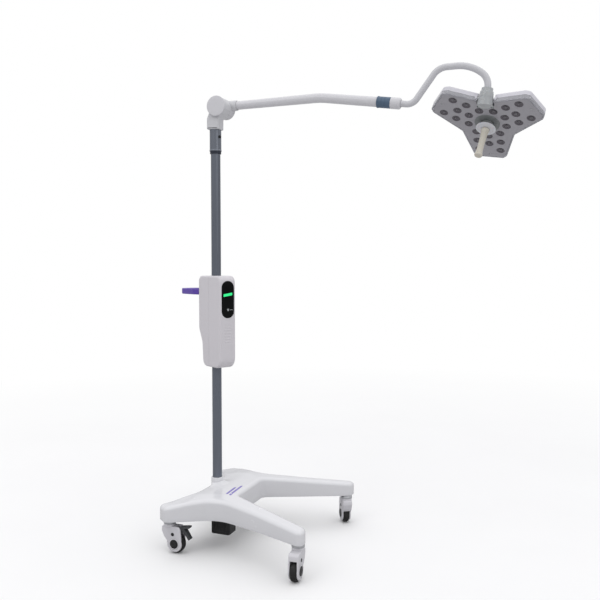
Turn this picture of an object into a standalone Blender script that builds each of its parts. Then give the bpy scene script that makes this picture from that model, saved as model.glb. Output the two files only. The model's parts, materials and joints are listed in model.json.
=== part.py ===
"""Mobile surgical light: a four-legged caster base, a pole with a control box, and an arm with
a three-lobed head hanging from a gooseneck.

Metres, +Z up. Pieces are placed from the foot of the pole's axis, with +X along the arm and the
long front legs and +Y to the left. The last step moves the whole light so that the origin is on
the floor under the middle of its overall box.
"""

import math

import bmesh
import bpy
from mathutils import Matrix, Vector

# ---------------------------------------------------------------- driving dimensions
GAP = 0.0003  # clearance between neighbouring pieces

# Base
BASE_Z = 0.125
BASE_TOP_Z = 0.200
BASE_CROWN = 0.008
COVER_WALL = 0.004
FRAME_Z = (0.1300, 0.1440)
BOLT_HOLE_R = 0.0083

# Casters
FRONT_X, FRONT_Y = 0.4636, 0.278
REAR_X, REAR_Y = -0.0753, 0.2414
CASTERS = {  # swivel axis x, y; heading of the trail in degrees
    "front_left": (FRONT_X, FRONT_Y, 121.0),
    "front_right": (FRONT_X, -FRONT_Y, 273.5),
    "rear_left": (REAR_X, REAR_Y, 48.0),
    "rear_right": (REAR_X, -REAR_Y, 0.0),
}
WHEEL_R = 0.0375
WHEEL_W = 0.022
TYRE_SEGS = 18
TRAIL = 0.028
FORK_W = 0.038
FORK_DISC_R = 0.0310
WHEEL_ROOM_R = 0.0415
WHEEL_ROOM_W = 0.0265
AXLE_R = 0.0040
PEDAL_X, PEDAL_Z = 0.0380, 0.0860

# Pole
POLE_R = 0.019
POLE_WALL = 0.002
POLE_TOP = 1.5575
POLE_PLUG_TOP = 0.1750
COLLAR_R = 0.0245
COLLAR_TOP = 0.229
SLEEVE_R = 0.023
SLEEVE_Z = (1.5320, 1.6480)
SLEEVE_BORE_R = 0.0160

# Control box
BOX_HEADING = -31.5
BOX_FRONT = 0.088
BOX_REAR = 0.084
BOX_W = 0.072
BOX_Z = (0.681, 1.047)
BOX_WALL = 0.003
PILL_W = 0.056
PILL_Z = (0.881, 1.027)
BUTTON_Y = -0.040
HANDLE_Z = 0.981
HANDLE_OUT = 0.236

# Arm
HUB_X = 0.022
HUB_Z = 1.7135
HUB_R = 0.038
ARM_Y = 0.040
ARM_LEVEL_Z = 1.726
ARM_BEND_X = 0.430
ARM_BEND_R = 0.30
ARM_DROP = 8.8
ARM_R = (0.0165, 0.0185)
ARM_WALL = 0.003
RING_X = (0.6540, 0.7048)
RING_R = 0.0215
END_SLEEVE_X = 0.742

# Gooseneck
GOOSE_R = 0.0118
GOOSE_WALL = 0.002
GOOSE_SEAT = 0.0183  # start of the gooseneck past the arm ring
GOOSE_TURNS = (  # bend radius, straight length, bend in degrees (positive turns upwards)
    (0.000, 0.020, 0.0), (0.040, 0.0, 62.0), (0.000, 0.100, 0.0), (0.058, 0.0, -53.2),
    (0.000, 0.033, 0.0), (0.140, 0.0, -40.0), (0.058, 0.0, -58.7), (0.000, 0.022, 0.0),
)

# Head
COLLAR_SWIVEL = -2.7
HEAD_TILT = 28.1
PIVOT_DROP = 0.016
PIVOT_TO_CENTRE = 0.118
PIVOT_ABOVE_LEDS = 0.012
LOBE_R = 0.2030
LOBE_TIP_HALF_W = 0.049
LOBE_SHOULDER = (0.1885, 0.0625)  # along the lobe, sideways
NOTCH_R = 0.1105
COVER_NEAR_NOTCH_R = 0.074
PANEL_TOP = 0.004
RIM_T = 0.015
HEAD_T = 0.040
RECESS_R = 0.038
RECESS_HALF_W = 0.030
RECESS_TOP = 0.08
PIN_R = 0.0040
PIN_HALF_LEN = 0.0355
EAR_R = 0.0075
EAR_LEN = 0.0080
EAR_GAP = 0.0005
LEDS = (  # along the lobe, sideways; each sideways value other than 0 is mirrored
    (0.0537, 0.0434), (0.1047, 0.0434), (0.1557, 0.0400), (0.0736, 0.0), (0.1191, 0.0),
)
LENS_R = 0.0160
PANEL_SCREW_AT = 0.1806
FLANGE_R = 0.036
HANDLE_LEN = 0.145

WHITE = (0.86, 0.86, 0.88)


# ---------------------------------------------------------------- objects and booleans
for old_object in list(bpy.data.objects):
    bpy.data.objects.remove(old_object, do_unlink=True)


def material(name, colour, rough, metal):
    """Makes a material; the boolean tools all share one."""
    made = bpy.data.materials.get(name)
    if made:
        return made
    made = bpy.data.materials.new(name)
    made.use_nodes = True
    shader = made.node_tree.nodes["Principled BSDF"]
    shader.inputs["Base Color"].default_value = (*colour, 1.0)
    shader.inputs["Roughness"].default_value = rough
    shader.inputs["Metallic"].default_value = metal
    made.diffuse_color = (*colour, 1.0)
    return made


def finish(name, bm, colour, rough, metal=0.0, matrix=None, origin=None, smooth=True):
    """Turns a mesh drawn in the frame of matrix into an object; origin is in world metres and
    falls back to the frame's own origin."""
    bmesh.ops.remove_doubles(bm, verts=bm.verts, dist=1e-6)
    bmesh.ops.recalc_face_normals(bm, faces=bm.faces)
    if matrix is not None:
        bmesh.ops.transform(bm, matrix=matrix, verts=bm.verts)
    if origin is None:
        origin = matrix.translation if matrix is not None else (0, 0, 0)
    origin = Vector(origin)
    bmesh.ops.translate(bm, vec=-origin, verts=bm.verts)
    mesh = bpy.data.meshes.new(name)
    bm.to_mesh(mesh)
    bm.free()
    ob = bpy.data.objects.new(name, mesh)
    bpy.context.scene.collection.objects.link(ob)
    ob.location = origin
    mesh.materials.append(material("m_" + name, colour, rough, metal))
    if smooth:
        for polygon in mesh.polygons:
            polygon.use_smooth = True
    return ob


def boolean(ob, bm, op, matrix):
    """Applies one exact boolean at once, so only the finished body stays in the scene."""
    tool = finish("tool", bm, colour=WHITE, rough=0.4, matrix=matrix, origin=(0, 0, 0),
                  smooth=False)
    modifier = ob.modifiers.new("b", "BOOLEAN")
    modifier.operation = op
    modifier.solver = "EXACT"
    modifier.object = tool
    bpy.context.view_layer.update()
    graph = bpy.context.evaluated_depsgraph_get()
    new = bpy.data.meshes.new_from_object(ob.evaluated_get(graph))
    ob.modifiers.clear()
    old = ob.data
    ob.data = new
    new.name = ob.name
    while len(new.materials) > 1:
        new.materials.pop()
    for polygon in new.polygons:
        polygon.material_index = 0
    bpy.data.meshes.remove(old)
    bpy.data.objects.remove(tool, do_unlink=True)
    clean(new)


def cut(ob, bm, matrix=None):
    boolean(ob, bm, "DIFFERENCE", matrix)


def join(ob, bm, matrix=None):
    boolean(ob, bm, "UNION", matrix)


def clean(mesh):
    """Merges the near-double points that a boolean leaves."""
    bm = bmesh.new()
    bm.from_mesh(mesh)
    bmesh.ops.remove_doubles(bm, verts=bm.verts, dist=2e-6)
    bmesh.ops.dissolve_degenerate(bm, edges=bm.edges, dist=1e-6)
    bm.to_mesh(mesh)
    bm.free()


# ---------------------------------------------------------------- outlines
def fillet(corners, seg=5):
    """Rounds the corners (x, y, radius) of a closed outline."""
    out = []
    for i, (x, y, radius) in enumerate(corners):
        if radius <= 0:
            out.append((x, y))
            continue
        corner = Vector((x, y))
        back = Vector(corners[i - 1][:2]) - corner
        ahead = Vector(corners[(i + 1) % len(corners)][:2]) - corner
        half = back.angle(ahead) / 2
        # a fillet may take at most 48% of either side
        reach = min(radius / math.tan(half), back.length * 0.48, ahead.length * 0.48)
        radius = reach * math.tan(half)
        back.normalize()
        ahead.normalize()
        middle = corner + (back + ahead).normalized() * (radius / math.sin(half))
        start = corner + back * reach - middle
        end = corner + ahead * reach - middle
        sweep_angle = math.atan2(start.x * end.y - start.y * end.x, start.dot(end))
        for k in range(seg + 1):
            c = math.cos(sweep_angle * k / seg)
            s = math.sin(sweep_angle * k / seg)
            out.append((middle.x + start.x * c - start.y * s,
                        middle.y + start.x * s + start.y * c))
    return out


def offset(points, inset):
    """Moves a counter-clockwise outline inwards."""
    out = []
    for i, point in enumerate(points):
        corner = Vector(point)
        edge_in = (corner - Vector(points[i - 1])).normalized()
        edge_out = (Vector(points[(i + 1) % len(points)]) - corner).normalized()
        normal_in = Vector((-edge_in.y, edge_in.x))
        normal_out = Vector((-edge_out.y, edge_out.x))
        mitre = (normal_in + normal_out).normalized()
        moved = corner + mitre * (inset / max(0.35, mitre.dot(normal_in)))
        out.append((moved.x, moved.y))
    return out


def dense(points, step):
    """Splits the long straight runs of an outline so its height can follow a curve."""
    out = []
    for i, start in enumerate(points):
        end = points[(i + 1) % len(points)]
        parts = max(1, int(math.dist(start, end) / step))
        for k in range(parts):
            out.append((start[0] + (end[0] - start[0]) * k / parts,
                        start[1] + (end[1] - start[1]) * k / parts))
    return out


def rect(x0, x1, y0, y1, radius=0.0):
    return fillet([(x0, y0, radius), (x1, y0, radius), (x1, y1, radius), (x0, y1, radius)], 3)


def level(points, z):
    return [(x, y, z) for x, y in points]


def circle(radius, z, segs, x=0.0, y=0.0):
    angles = [2 * math.pi * i / segs for i in range(segs)]
    return [(x + radius * math.cos(a), y + radius * math.sin(a), z) for a in angles]


# ---------------------------------------------------------------- solids
def bridge(bm, rows):
    """Skins each row of vertices to the next one."""
    for row, following in zip(rows, rows[1:]):
        for i in range(len(row)):
            j = (i + 1) % len(row)
            bm.faces.new((row[i], row[j], following[j], following[i]))


def loft(rings, close=False, bm=None):
    """A skin over rings of equally many points, added to bm if given; open lofts are capped,
    closed ones join the last ring to the first."""
    bm = bmesh.new() if bm is None else bm
    rows = [[bm.verts.new(p) for p in ring] for ring in rings]
    bridge(bm, rows + rows[:1] if close else rows)
    if not close:
        bm.faces.new(list(reversed(rows[0])))
        bm.faces.new(rows[-1])
    return bm


def dish(outer_rings, inner_rings):
    """A walled dish, open at the first rings. Returns the mesh and its two end caps."""
    bm = bmesh.new()
    outer = [[bm.verts.new(p) for p in ring] for ring in outer_rings]
    inner = [[bm.verts.new(p) for p in ring] for ring in inner_rings]
    bridge(bm, outer)
    bridge(bm, inner)
    bridge(bm, [outer[0], inner[0]])
    return bm, [bm.faces.new(outer[-1]), bm.faces.new(inner[-1])]


def lathe(profile, segs=16):
    """Turns (radius, height) points about Z. Points on the axis become poles; a profile with
    neither end on the axis closes on itself."""
    bm = bmesh.new()
    rows = []
    for radius, z in profile:
        ring = [(0, 0, z)] if radius < 1e-7 else circle(radius, z, segs)
        rows.append([bm.verts.new(p) for p in ring])
    pairs = list(zip(rows, rows[1:]))
    if len(rows[0]) > 1 and len(rows[-1]) > 1:
        pairs.append((rows[-1], rows[0]))
    for a, b in pairs:
        if len(a) == 1 and len(b) == 1:
            continue
        for i in range(segs):
            j = (i + 1) % segs
            if len(a) == 1:
                bm.faces.new((a[0], b[i], b[j]))
            elif len(b) == 1:
                bm.faces.new((a[i], a[j], b[0]))
            else:
                bm.faces.new((a[i], a[j], b[j], b[i]))
    return bm


def cylinder(radius, z0, z1, segs=16):
    return lathe([(0, z0), (radius, z0), (radius, z1), (0, z1)], segs)


def prism(points, z0, z1, chamfer=0.0):
    if not chamfer:
        return loft([level(points, z0), level(points, z1)])
    inner = offset(points, chamfer)
    return loft([level(inner, z0), level(points, z0 + chamfer),
                 level(points, z1 - chamfer), level(inner, z1)])


def sweep(path, radii, segs, inner=None):
    """A round rod along a path that lies in one X-Z plane, or a tube if given inner radii."""
    side = Vector((0, 1, 0))

    def ring(i, radius):
        before, after = Vector(path[max(0, i - 1)]), Vector(path[min(len(path) - 1, i + 1)])
        up = (after - before).normalized().cross(side).normalized()
        angles = [2 * math.pi * k / segs for k in range(segs)]
        return [path[i] + (side * math.cos(a) + up * math.sin(a)) * radius for a in angles]

    rings = [ring(i, radius) for i, radius in enumerate(radii)]
    if inner is None:
        return loft(rings)
    rings += [ring(i, inner[i]) for i in reversed(range(len(path)))]
    return loft(rings, close=True)


def frame_from(origin, x_axis, y_axis, z_axis):
    matrix = Matrix.Identity(4)
    for i, axis in enumerate((x_axis, y_axis, z_axis)):
        matrix.col[i][:3] = axis
    matrix.col[3][:3] = origin
    return matrix


def shifted(x, y, z):
    return Matrix.Translation((x, y, z))


def turned(degrees, axis):
    return Matrix.Rotation(math.radians(degrees), 4, axis)


# Outlines drawn as (x, z) stand upright in this frame, with their thickness along Y.
SIDE_VIEW = frame_from((0, 0, 0), (1, 0, 0), (0, 0, 1), (0, -1, 0))


# ---------------------------------------------------------------- base cover
def side_height(x, y):
    """Height of the cover above a point: a flat middle that falls off along the legs."""
    fall_centre_x, fall_slope, fall_start = 0.03, 0.082, 0.0125
    rear_leg_drop, rear_dip = 0.012, 0.015
    distance = math.hypot(x - fall_centre_x, y)
    z = min(BASE_TOP_Z, BASE_TOP_Z + fall_start - fall_slope * distance)
    if x < 0:
        z -= rear_leg_drop * min(1.0, -x / 0.09) * min(1.0, abs(y) / 0.2)
    # a smooth step down towards the rear, weaker out along the legs
    t = max(0.0, min(1.0, (0.07 - x) / 0.11))
    return z - rear_dip * t * t * (3 - 2 * t) * (1 - 0.65 * min(1.0, abs(y) / 0.25))


def draped(points, rise):
    return [(x, y, side_height(x, y) + rise) for x, y in points]


# Left half of the plan, from the front crotch round both legs to the rear: x, y, corner radius
BASE_HALF = [
    (0.150, 0.1125, 0.035), (0.490, 0.264, 0.028), (0.490, 0.3225, 0.030),
    (0.285, 0.2445, 0.30), (0.105, 0.1900, 0.14), (-0.0700, 0.2890, 0.026),
    (-0.1230, 0.2480, 0.026), (-0.0340, 0.1180, 0.10),
]
base_corners = BASE_HALF + [(x, -y, radius) for x, y, radius in reversed(BASE_HALF)]
plan = dense(fillet(base_corners, 4), 0.075)
inner_plan = offset(plan, COVER_WALL)

outer_rings = [level(plan, BASE_Z), draped(plan, -0.006)]
for inset, crown in ((0.0030, 0.100), (0.0090, 0.60), (0.0190, 1.0)):
    outer_rings.append(draped(offset(plan, inset), BASE_CROWN * crown))
inner_rings = [level(inner_plan, BASE_Z), draped(inner_plan, -0.010)]
for inset, crown in ((0.0100, 0.1), (0.0200, 1.0)):
    inner_rings.append(draped(offset(plan, inset), BASE_CROWN * crown - COVER_WALL))
bm, caps = dish(outer_rings, inner_rings)
bm.normal_update()
bmesh.ops.triangulate(bm, faces=caps, ngon_method="BEAUTY")
base_cover = finish("base_cover", bm, colour=WHITE, rough=0.25)
cut(base_cover, cylinder(COLLAR_R + GAP, 0.15, 0.25))

# ---------------------------------------------------------------- base frame
# A disc under the pole and a cross plate, with one bar out to each caster.
frame = finish("base_frame", cylinder(0.0260, *FRAME_Z),
               colour=(0.16, 0.17, 0.18), rough=0.45, metal=0.6, smooth=False)
join(frame, prism(rect(-0.0240, 0.085, -0.125, 0.125, 0.01), *FRAME_Z))
for x, y, _ in CASTERS.values():
    start_x, start_y = (0.070, 0.112) if x > 0 else (0.010, 0.110)
    start_y = math.copysign(start_y, y)
    length = math.dist((start_x, start_y), (x, y)) + 0.012
    direction = Matrix.Rotation(math.atan2(y - start_y, x - start_x), 4, "Z")
    join(frame, prism(rect(-0.015, length, -0.015, 0.015, 0.006), *FRAME_Z),
         shifted(start_x, start_y, 0) @ direction)
for x, y, _ in CASTERS.values():
    cut(frame, cylinder(0.0066, 0.12, 0.16, 10), shifted(x, y, 0))
cut(frame, cylinder(BOLT_HOLE_R, 0.12, 0.16, 10))

# ---------------------------------------------------------------- pole and its foot
finish("pole_bolt",
       lathe([(0, 0.1180), (0.0130, 0.1180), (0.0130, FRAME_Z[0] - GAP),
              (0.0080, FRAME_Z[0] - GAP), (0.0080, 0.1700), (0.0, 0.1700)], 10),
       colour=(0.55, 0.56, 0.58), rough=0.35, metal=0.9)
pole_foot = FRAME_Z[1] + GAP
finish("pole_tube",
       lathe([(POLE_R, pole_foot), (POLE_R, POLE_TOP), (POLE_R - POLE_WALL, POLE_TOP),
              (POLE_R - POLE_WALL, POLE_PLUG_TOP), (BOLT_HOLE_R, POLE_PLUG_TOP),
              (BOLT_HOLE_R, pole_foot)]),
       colour=(0.33, 0.36, 0.40), rough=0.35, metal=0.3)
finish("pole_collar",
       lathe([(POLE_R + GAP, COLLAR_TOP), (COLLAR_R - 0.003, COLLAR_TOP),
              (COLLAR_R, COLLAR_TOP - 0.003), (COLLAR_R, 0.1800), (POLE_R + GAP, 0.1800)]),
       colour=WHITE, rough=0.3)
finish("power_box",
       prism(rect(0.045, 0.124, -0.140, -0.078, 0.008), 0.050, BASE_Z - GAP, 0.003),
       colour=(0.03, 0.03, 0.035), rough=0.45)

# ---------------------------------------------------------------- casters
# Caster outlines are (x, z) with x along the trail; profiles are (radius, height).
STEM_PROFILE = [
    (0, 0.1040), (0.0050, 0.1040), (0.0050, 0.1120), (0.0235, 0.1120), (0.0235, 0.1180),
    (0.0190, 0.1247), (0.0060, 0.1247), (0.0060, 0.1500), (0, 0.1500),
]
# x, z, corner radius: the fork's edges behind and ahead of its wheel disc
FORK_BACK = [(-0.0240, 0.1035, 0.006), (-0.0260, 0.0860, 0.014), (-0.0175, 0.0650, 0.012)]
FORK_FRONT = [(0.0570, 0.0700, 0.01), (0.0535, 0.0940, 0.01), (0.0470, 0.1035, 0.004)]
CROWN_PROFILE = [(0, 0.1000), (0.0225, 0.1000), (0.0225, 0.1100), (0.0210, 0.1116), (0, 0.1116)]
AXLE_PROFILE = [
    (0, -0.0215), (0.0155, -0.0215), (0.0170, -0.0205), (0.0170, -0.0193), (AXLE_R, -0.0193),
    (AXLE_R, 0.0193), (0.0170, 0.0193), (0.0170, 0.0205), (0.0155, 0.0215), (0, 0.0215),
]
WHEEL_HUB_PROFILE = [
    (AXLE_R + GAP, -0.0115), (0.0090, -0.0115), (0.0110, -0.0080), (0.0240, -0.0080),
    (0.0279, -0.0100), (0.0279, 0.0100), (0.0240, 0.0080), (0.0110, 0.0080),
    (0.0090, 0.0115), (AXLE_R + GAP, 0.0115),
]
# x, z, corner radius: a forked lever round its pivot at the back end
PEDAL_OUTLINE = [
    (PEDAL_X - 0.0060, PEDAL_Z - 0.0060, 0.003), (PEDAL_X + 0.0080, PEDAL_Z - 0.0065, 0.002),
    (0.0640, 0.0850, 0.002), (0.0860, 0.0560, 0.002), (0.0925, 0.0600, 0.002),
    (0.0715, 0.0920, 0.002), (0.0630, 0.0960, 0.002), (0.0890, 0.1010, 0.002),
    (0.0880, 0.1085, 0.002), (0.0560, 0.1040, 0.002),
    (PEDAL_X - 0.0060, PEDAL_Z + 0.0060, 0.003),
]
UPRIGHT = turned(90, "X")


def caster_fork(name, place, wheel_frame, braked):
    """A cover disc over the wheel that runs up into the crown, hollowed for the wheel."""
    angles = [math.radians(-196 + 216 * k / 11) for k in range(12)]
    disc = [(TRAIL + FORK_DISC_R * math.cos(a), WHEEL_R + FORK_DISC_R * math.sin(a), 0.0)
            for a in angles]
    side_view = fillet(FORK_BACK + disc + FORK_FRONT, 2)
    x, y, _ = place.translation
    fork = finish(name + "_fork", prism(side_view, -FORK_W / 2, FORK_W / 2, 0.0015),
                  colour=(0.74, 0.75, 0.78), rough=0.4,
                  matrix=place @ UPRIGHT, origin=(x, y, 0.10))
    join(fork, lathe(CROWN_PROFILE, 12), place)
    cut(fork, cylinder(WHEEL_ROOM_R, 0, WHEEL_ROOM_W, 14),
        wheel_frame @ shifted(0, 0, -WHEEL_ROOM_W / 2))
    cut(fork, prism(rect(0.0280, 0.08, -WHEEL_ROOM_W / 2, WHEEL_ROOM_W / 2),
                    0.030, 0.12 if braked else 0.0785), place)
    cut(fork, cylinder(0.0053, 0.0975, 0.12, 10), place)
    cut(fork, cylinder(AXLE_R + GAP, -0.03, 0.03, 10), wheel_frame)
    if braked:
        cut(fork, cylinder(0.0033, -0.0168, 0.0168, 10),
            place @ shifted(PEDAL_X, 0, PEDAL_Z) @ UPRIGHT)


def caster_tyre(name, wheel_frame):
    half_w = WHEEL_W / 2
    # the flats of the turned tread, not its corners, lie at the wheel's radius
    tread_r = WHEEL_R / math.cos(math.pi / TYRE_SEGS)
    profile = [(0.0285, -half_w), (0.0330, -half_w), (0.0365, -half_w + 0.0025),
               (tread_r, -0.0045), (tread_r, 0.0045), (0.0365, half_w - 0.0025),
               (0.0330, half_w), (0.0285, half_w)]
    finish(name + "_tyre", lathe(profile, TYRE_SEGS),
           colour=(0.02, 0.02, 0.022), rough=0.7, matrix=wheel_frame)


def caster_pedal(name, place):
    pedal = finish(name + "_pedal", prism(fillet(PEDAL_OUTLINE, 2), -0.0115, 0.0115, 0.001),
                   colour=(0.30, 0.31, 0.33), rough=0.5, matrix=place @ UPRIGHT,
                   origin=place @ Vector((PEDAL_X, 0, PEDAL_Z)))
    join(pedal, cylinder(0.0030, -0.0165, 0.0165, 10),
         place @ shifted(PEDAL_X, 0, PEDAL_Z) @ UPRIGHT)


for name, (x, y, heading) in CASTERS.items():
    braked = name.startswith("rear")
    place = shifted(x, y, 0) @ turned(heading, "Z")
    wheel_frame = place @ shifted(TRAIL, 0, WHEEL_R) @ UPRIGHT
    finish(name + "_stem", lathe(STEM_PROFILE, 12),
           colour=(0.42, 0.44, 0.46), rough=0.3, metal=0.8, matrix=place)
    caster_fork(name, place, wheel_frame, braked)
    finish(name + "_axle", lathe(AXLE_PROFILE, 12),
           colour=(0.03, 0.03, 0.03), rough=0.35, matrix=wheel_frame)
    finish(name + "_wheel_hub", lathe(WHEEL_HUB_PROFILE, 14),
           colour=(0.35, 0.36, 0.37), rough=0.5, matrix=wheel_frame)
    caster_tyre(name, wheel_frame)
    if braked:
        caster_pedal(name, place)

# ---------------------------------------------------------------- control box on the pole
box_frame = turned(BOX_HEADING, "Z")
# Rounding of the box's sides: inset of the side view, distance in from the side face
BOX_EDGE = ((0.008, 0.0), (0.0022, 0.0022), (0.0, 0.008))


def box_side(inset, front):
    """Side view (x, z) of one half of the box: straight front, stepped-in lower rear."""
    z0, z1 = BOX_Z[0] + inset, BOX_Z[1] - inset
    if front:
        x = BOX_FRONT - inset
        return fillet([(GAP, z0, 0), (x, z0, 0.040), (x, z1, 0.024), (GAP, z1, 0)])
    x = -BOX_REAR + inset
    return fillet([(-GAP, z0, 0), (-GAP, z1, 0), (x, z1, 0.022), (x, 0.830 + inset, 0.03),
                   (x + 0.026, 0.775 + inset, 0.03), (x + 0.033, z0, 0.030)])


def box_shell(name, front):
    half_w = BOX_W / 2
    rings = [level(box_side(inset, front), -half_w + depth) for inset, depth in BOX_EDGE]
    rings += [level(box_side(inset, front), half_w - depth)
              for inset, depth in reversed(BOX_EDGE)]
    shell = finish(name, loft(rings), colour=(0.80, 0.80, 0.83), rough=0.35,
                   matrix=box_frame @ SIDE_VIEW, origin=(0, 0, 0.86))
    # the cavity runs past the split plane, so each half is open towards the other
    past_split = -0.02 if front else 0.02
    cavity = [(x + past_split if abs(x) < 0.001 else x, z)
              for x, z in box_side(BOX_WALL + 0.001, front)]
    cut(shell, prism(cavity, -half_w + BOX_WALL, half_w - BOX_WALL), box_frame @ SIDE_VIEW)
    cut(shell, cylinder(POLE_R + GAP, 0.6, 1.1))
    return shell


def pill(half_w, half_h):
    radius = half_w * 0.999
    return fillet([(-half_w, -half_h, radius), (half_w, -half_h, radius),
                   (half_w, half_h, radius), (-half_w, half_h, radius)])


front_shell = box_shell("box_front_shell", True)
box_shell("box_rear_shell", False)

# The display: x across the box, y up, z out of the front face
pill_half_w = PILL_W / 2
pill_half_h = (PILL_Z[1] - PILL_Z[0]) / 2
face_frame = box_frame @ frame_from((0, 0, (PILL_Z[0] + PILL_Z[1]) / 2),
                                    (0, 1, 0), (0, 0, 1), (1, 0, 0))
button_frame = face_frame @ shifted(0, BUTTON_Y, 0)
past_face = BOX_FRONT + 0.01
cut(front_shell, prism(pill(pill_half_w + GAP, pill_half_h + GAP), BOX_FRONT - 0.0020, past_face),
    face_frame)
window = finish("display_window",
                prism(pill(pill_half_w, pill_half_h), BOX_FRONT - 0.0017, BOX_FRONT + 0.0012,
                      0.0006),
                colour=(0.01, 0.01, 0.012), rough=0.08, matrix=face_frame)
DISPLAY_BAR = [(-0.0200, 0.0105), (0.0200, 0.0165), (0.0200, 0.0275), (-0.0200, 0.0215)]
cut(window, prism(DISPLAY_BAR, BOX_FRONT + 0.0002, past_face), face_frame)
finish("display_bar", prism(offset(DISPLAY_BAR, GAP), BOX_FRONT + 0.0005, BOX_FRONT + 0.0011),
       colour=(0.05, 0.75, 0.30), rough=0.3, matrix=face_frame, smooth=False)
cut(window, cylinder(0.0070, BOX_FRONT - 0.0012, past_face, 10), button_frame)
finish("power_button",
       lathe([(0, BOX_FRONT - 0.0001), (0.0066, BOX_FRONT - 0.0001),
              (0.0066, BOX_FRONT + 0.0018), (0.0060, BOX_FRONT + 0.0022),
              (0, BOX_FRONT + 0.0022)], 10),
       colour=(0.75, 0.77, 0.80), rough=0.35, matrix=button_frame)

# Inside the front half
finish("battery_pack", prism(rect(0.026, 0.078, -0.030, 0.030, 0.004), 0.735, 0.930, 0.002),
       colour=(0.10, 0.16, 0.30), rough=0.5, matrix=box_frame)
finish("control_board", prism(rect(0.0795, 0.0811, -0.029, 0.029, 0.002), 0.940, 1.020),
       colour=(0.05, 0.28, 0.12), rough=0.5, matrix=box_frame, smooth=False)

# Push handle: a D-shaped loop against the back of the box, as x, y, corner radius
HANDLE_OUTER = [
    (-BOX_REAR - GAP, -0.034, 0.0), (-BOX_REAR - GAP, 0.034, 0.0),
    (-BOX_REAR - 0.030, 0.045, 0.03), (-HANDLE_OUT, 0.045, 0.036),
    (-HANDLE_OUT, -0.045, 0.036), (-BOX_REAR - 0.030, -0.045, 0.03),
]
HANDLE_INNER = [
    (-BOX_REAR - 0.014, -0.018, 0.006), (-BOX_REAR - 0.014, 0.018, 0.006),
    (-BOX_REAR - 0.034, 0.026, 0.02), (-HANDLE_OUT + 0.020, 0.026, 0.018),
    (-HANDLE_OUT + 0.020, -0.026, 0.018), (-BOX_REAR - 0.034, -0.026, 0.02),
]
handle = finish("push_handle",
                prism(fillet(HANDLE_OUTER), HANDLE_Z - 0.012, HANDLE_Z + 0.012, 0.003),
                colour=(0.25, 0.15, 0.52), rough=0.4, matrix=box_frame)
cut(handle, prism(fillet(HANDLE_INNER, 4), HANDLE_Z - 0.03, HANDLE_Z + 0.03), box_frame)

# ---------------------------------------------------------------- top of the pole and neck
sleeve_foot, sleeve_top = SLEEVE_Z
sleeve = finish("coupler_sleeve",
                lathe([(POLE_R + GAP, sleeve_foot), (0.0222, sleeve_foot),
                       (0.0224, sleeve_foot + 0.0100),
                       (SLEEVE_R + 0.0012, sleeve_foot + 0.0110),
                       (SLEEVE_R + 0.0012, sleeve_foot + 0.0150),
                       (SLEEVE_R, sleeve_foot + 0.0165), (SLEEVE_R, sleeve_top),
                       (SLEEVE_BORE_R, sleeve_top), (SLEEVE_BORE_R, POLE_TOP + GAP),
                       (POLE_R + GAP, POLE_TOP + GAP)]),
                colour=(0.42, 0.44, 0.47), rough=0.35, metal=0.4)
screw_frame = shifted(0, 0, 1.598) @ turned(-20, "Z") @ turned(90, "Y")
cut(sleeve, cylinder(0.0031, 0.010, 0.030, 10), screw_frame)
finish("sleeve_screw",
       lathe([(0, 0.0165), (0.0028, 0.0165), (0.0028, 0.0235), (0.0055, 0.0235),
              (0.0055, 0.0275), (0.0045, 0.0285), (0, 0.0285)], 10),
       colour=(0.04, 0.04, 0.045), rough=0.4, metal=0.2, matrix=screw_frame)

spigot = finish("neck_spigot", cylinder(0.01555, 1.5600, 1.6560, 14),
                colour=(0.60, 0.61, 0.63), rough=0.3, metal=0.9)
# the groove that clears the screw
cut(spigot, lathe([(0.0135, 1.5920), (0.02, 1.5920), (0.02, 1.6040), (0.0135, 1.6040)], 14))

# The neck widens from the sleeve to the round cheek on the hub axis: x, z, corner radius
NECK_OUTLINE = [
    (-0.0262, 1.6275, 0.004), (0.0262, 1.6265, 0.004), (0.0264, 1.6680, 0.012),
    (HUB_X + 0.0372, 1.700, 0.008), (HUB_X + 0.0368, 1.727, 0.018),
    (HUB_X - 0.0368, 1.725, 0.02), (HUB_X - 0.0375, 1.695, 0.02), (-0.0262, 1.6700, 0.012),
]
hub_frame = shifted(HUB_X, 0, HUB_Z) @ turned(-90, "X")  # its z runs along +Y
neck = finish("neck_yoke", prism(fillet(NECK_OUTLINE, 4), -0.0265, 0.0265, 0.003),
              colour=(0.70, 0.71, 0.74), rough=0.35, matrix=SIDE_VIEW,
              origin=(HUB_X, 0, HUB_Z))
join(neck, cylinder(HUB_R, -0.0360, 0.0170, 20), hub_frame)
cut(neck, prism(rect(-0.2, 0.2, -0.1, 0.1), 0.0173, 0.06), hub_frame)
# sleeve and spigot sockets
cut(neck, lathe([(0, 1.60), (SLEEVE_R + 2 * GAP, 1.60), (SLEEVE_R + 2 * GAP, 1.6483),
                 (SLEEVE_BORE_R, 1.6483), (SLEEVE_BORE_R, 1.6563), (0, 1.6563)]))
# axle bore, with a counterbore at each end
cut(neck, lathe([(0, -0.0370), (0.0300, -0.0370), (0.0300, -0.0330), (0.0095, -0.0330),
                 (0.0095, 0.0), (0.0210, 0.0), (0.0210, 0.02), (0, 0.02)]), hub_frame)
finish("hub_cap",
       lathe([(0, -0.0405), (0.0385, -0.0405), (0.0395, -0.0395), (0.0395, -0.0363),
              (0.0294, -0.0363), (0.0294, -0.0333), (0, -0.0333)]),
       colour=WHITE, rough=0.3, matrix=hub_frame)
finish("hub_axle", cylinder(0.0088, -0.0330, 0.0458, 12),
       colour=(0.62, 0.63, 0.65), rough=0.25, metal=0.9, matrix=hub_frame)

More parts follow.
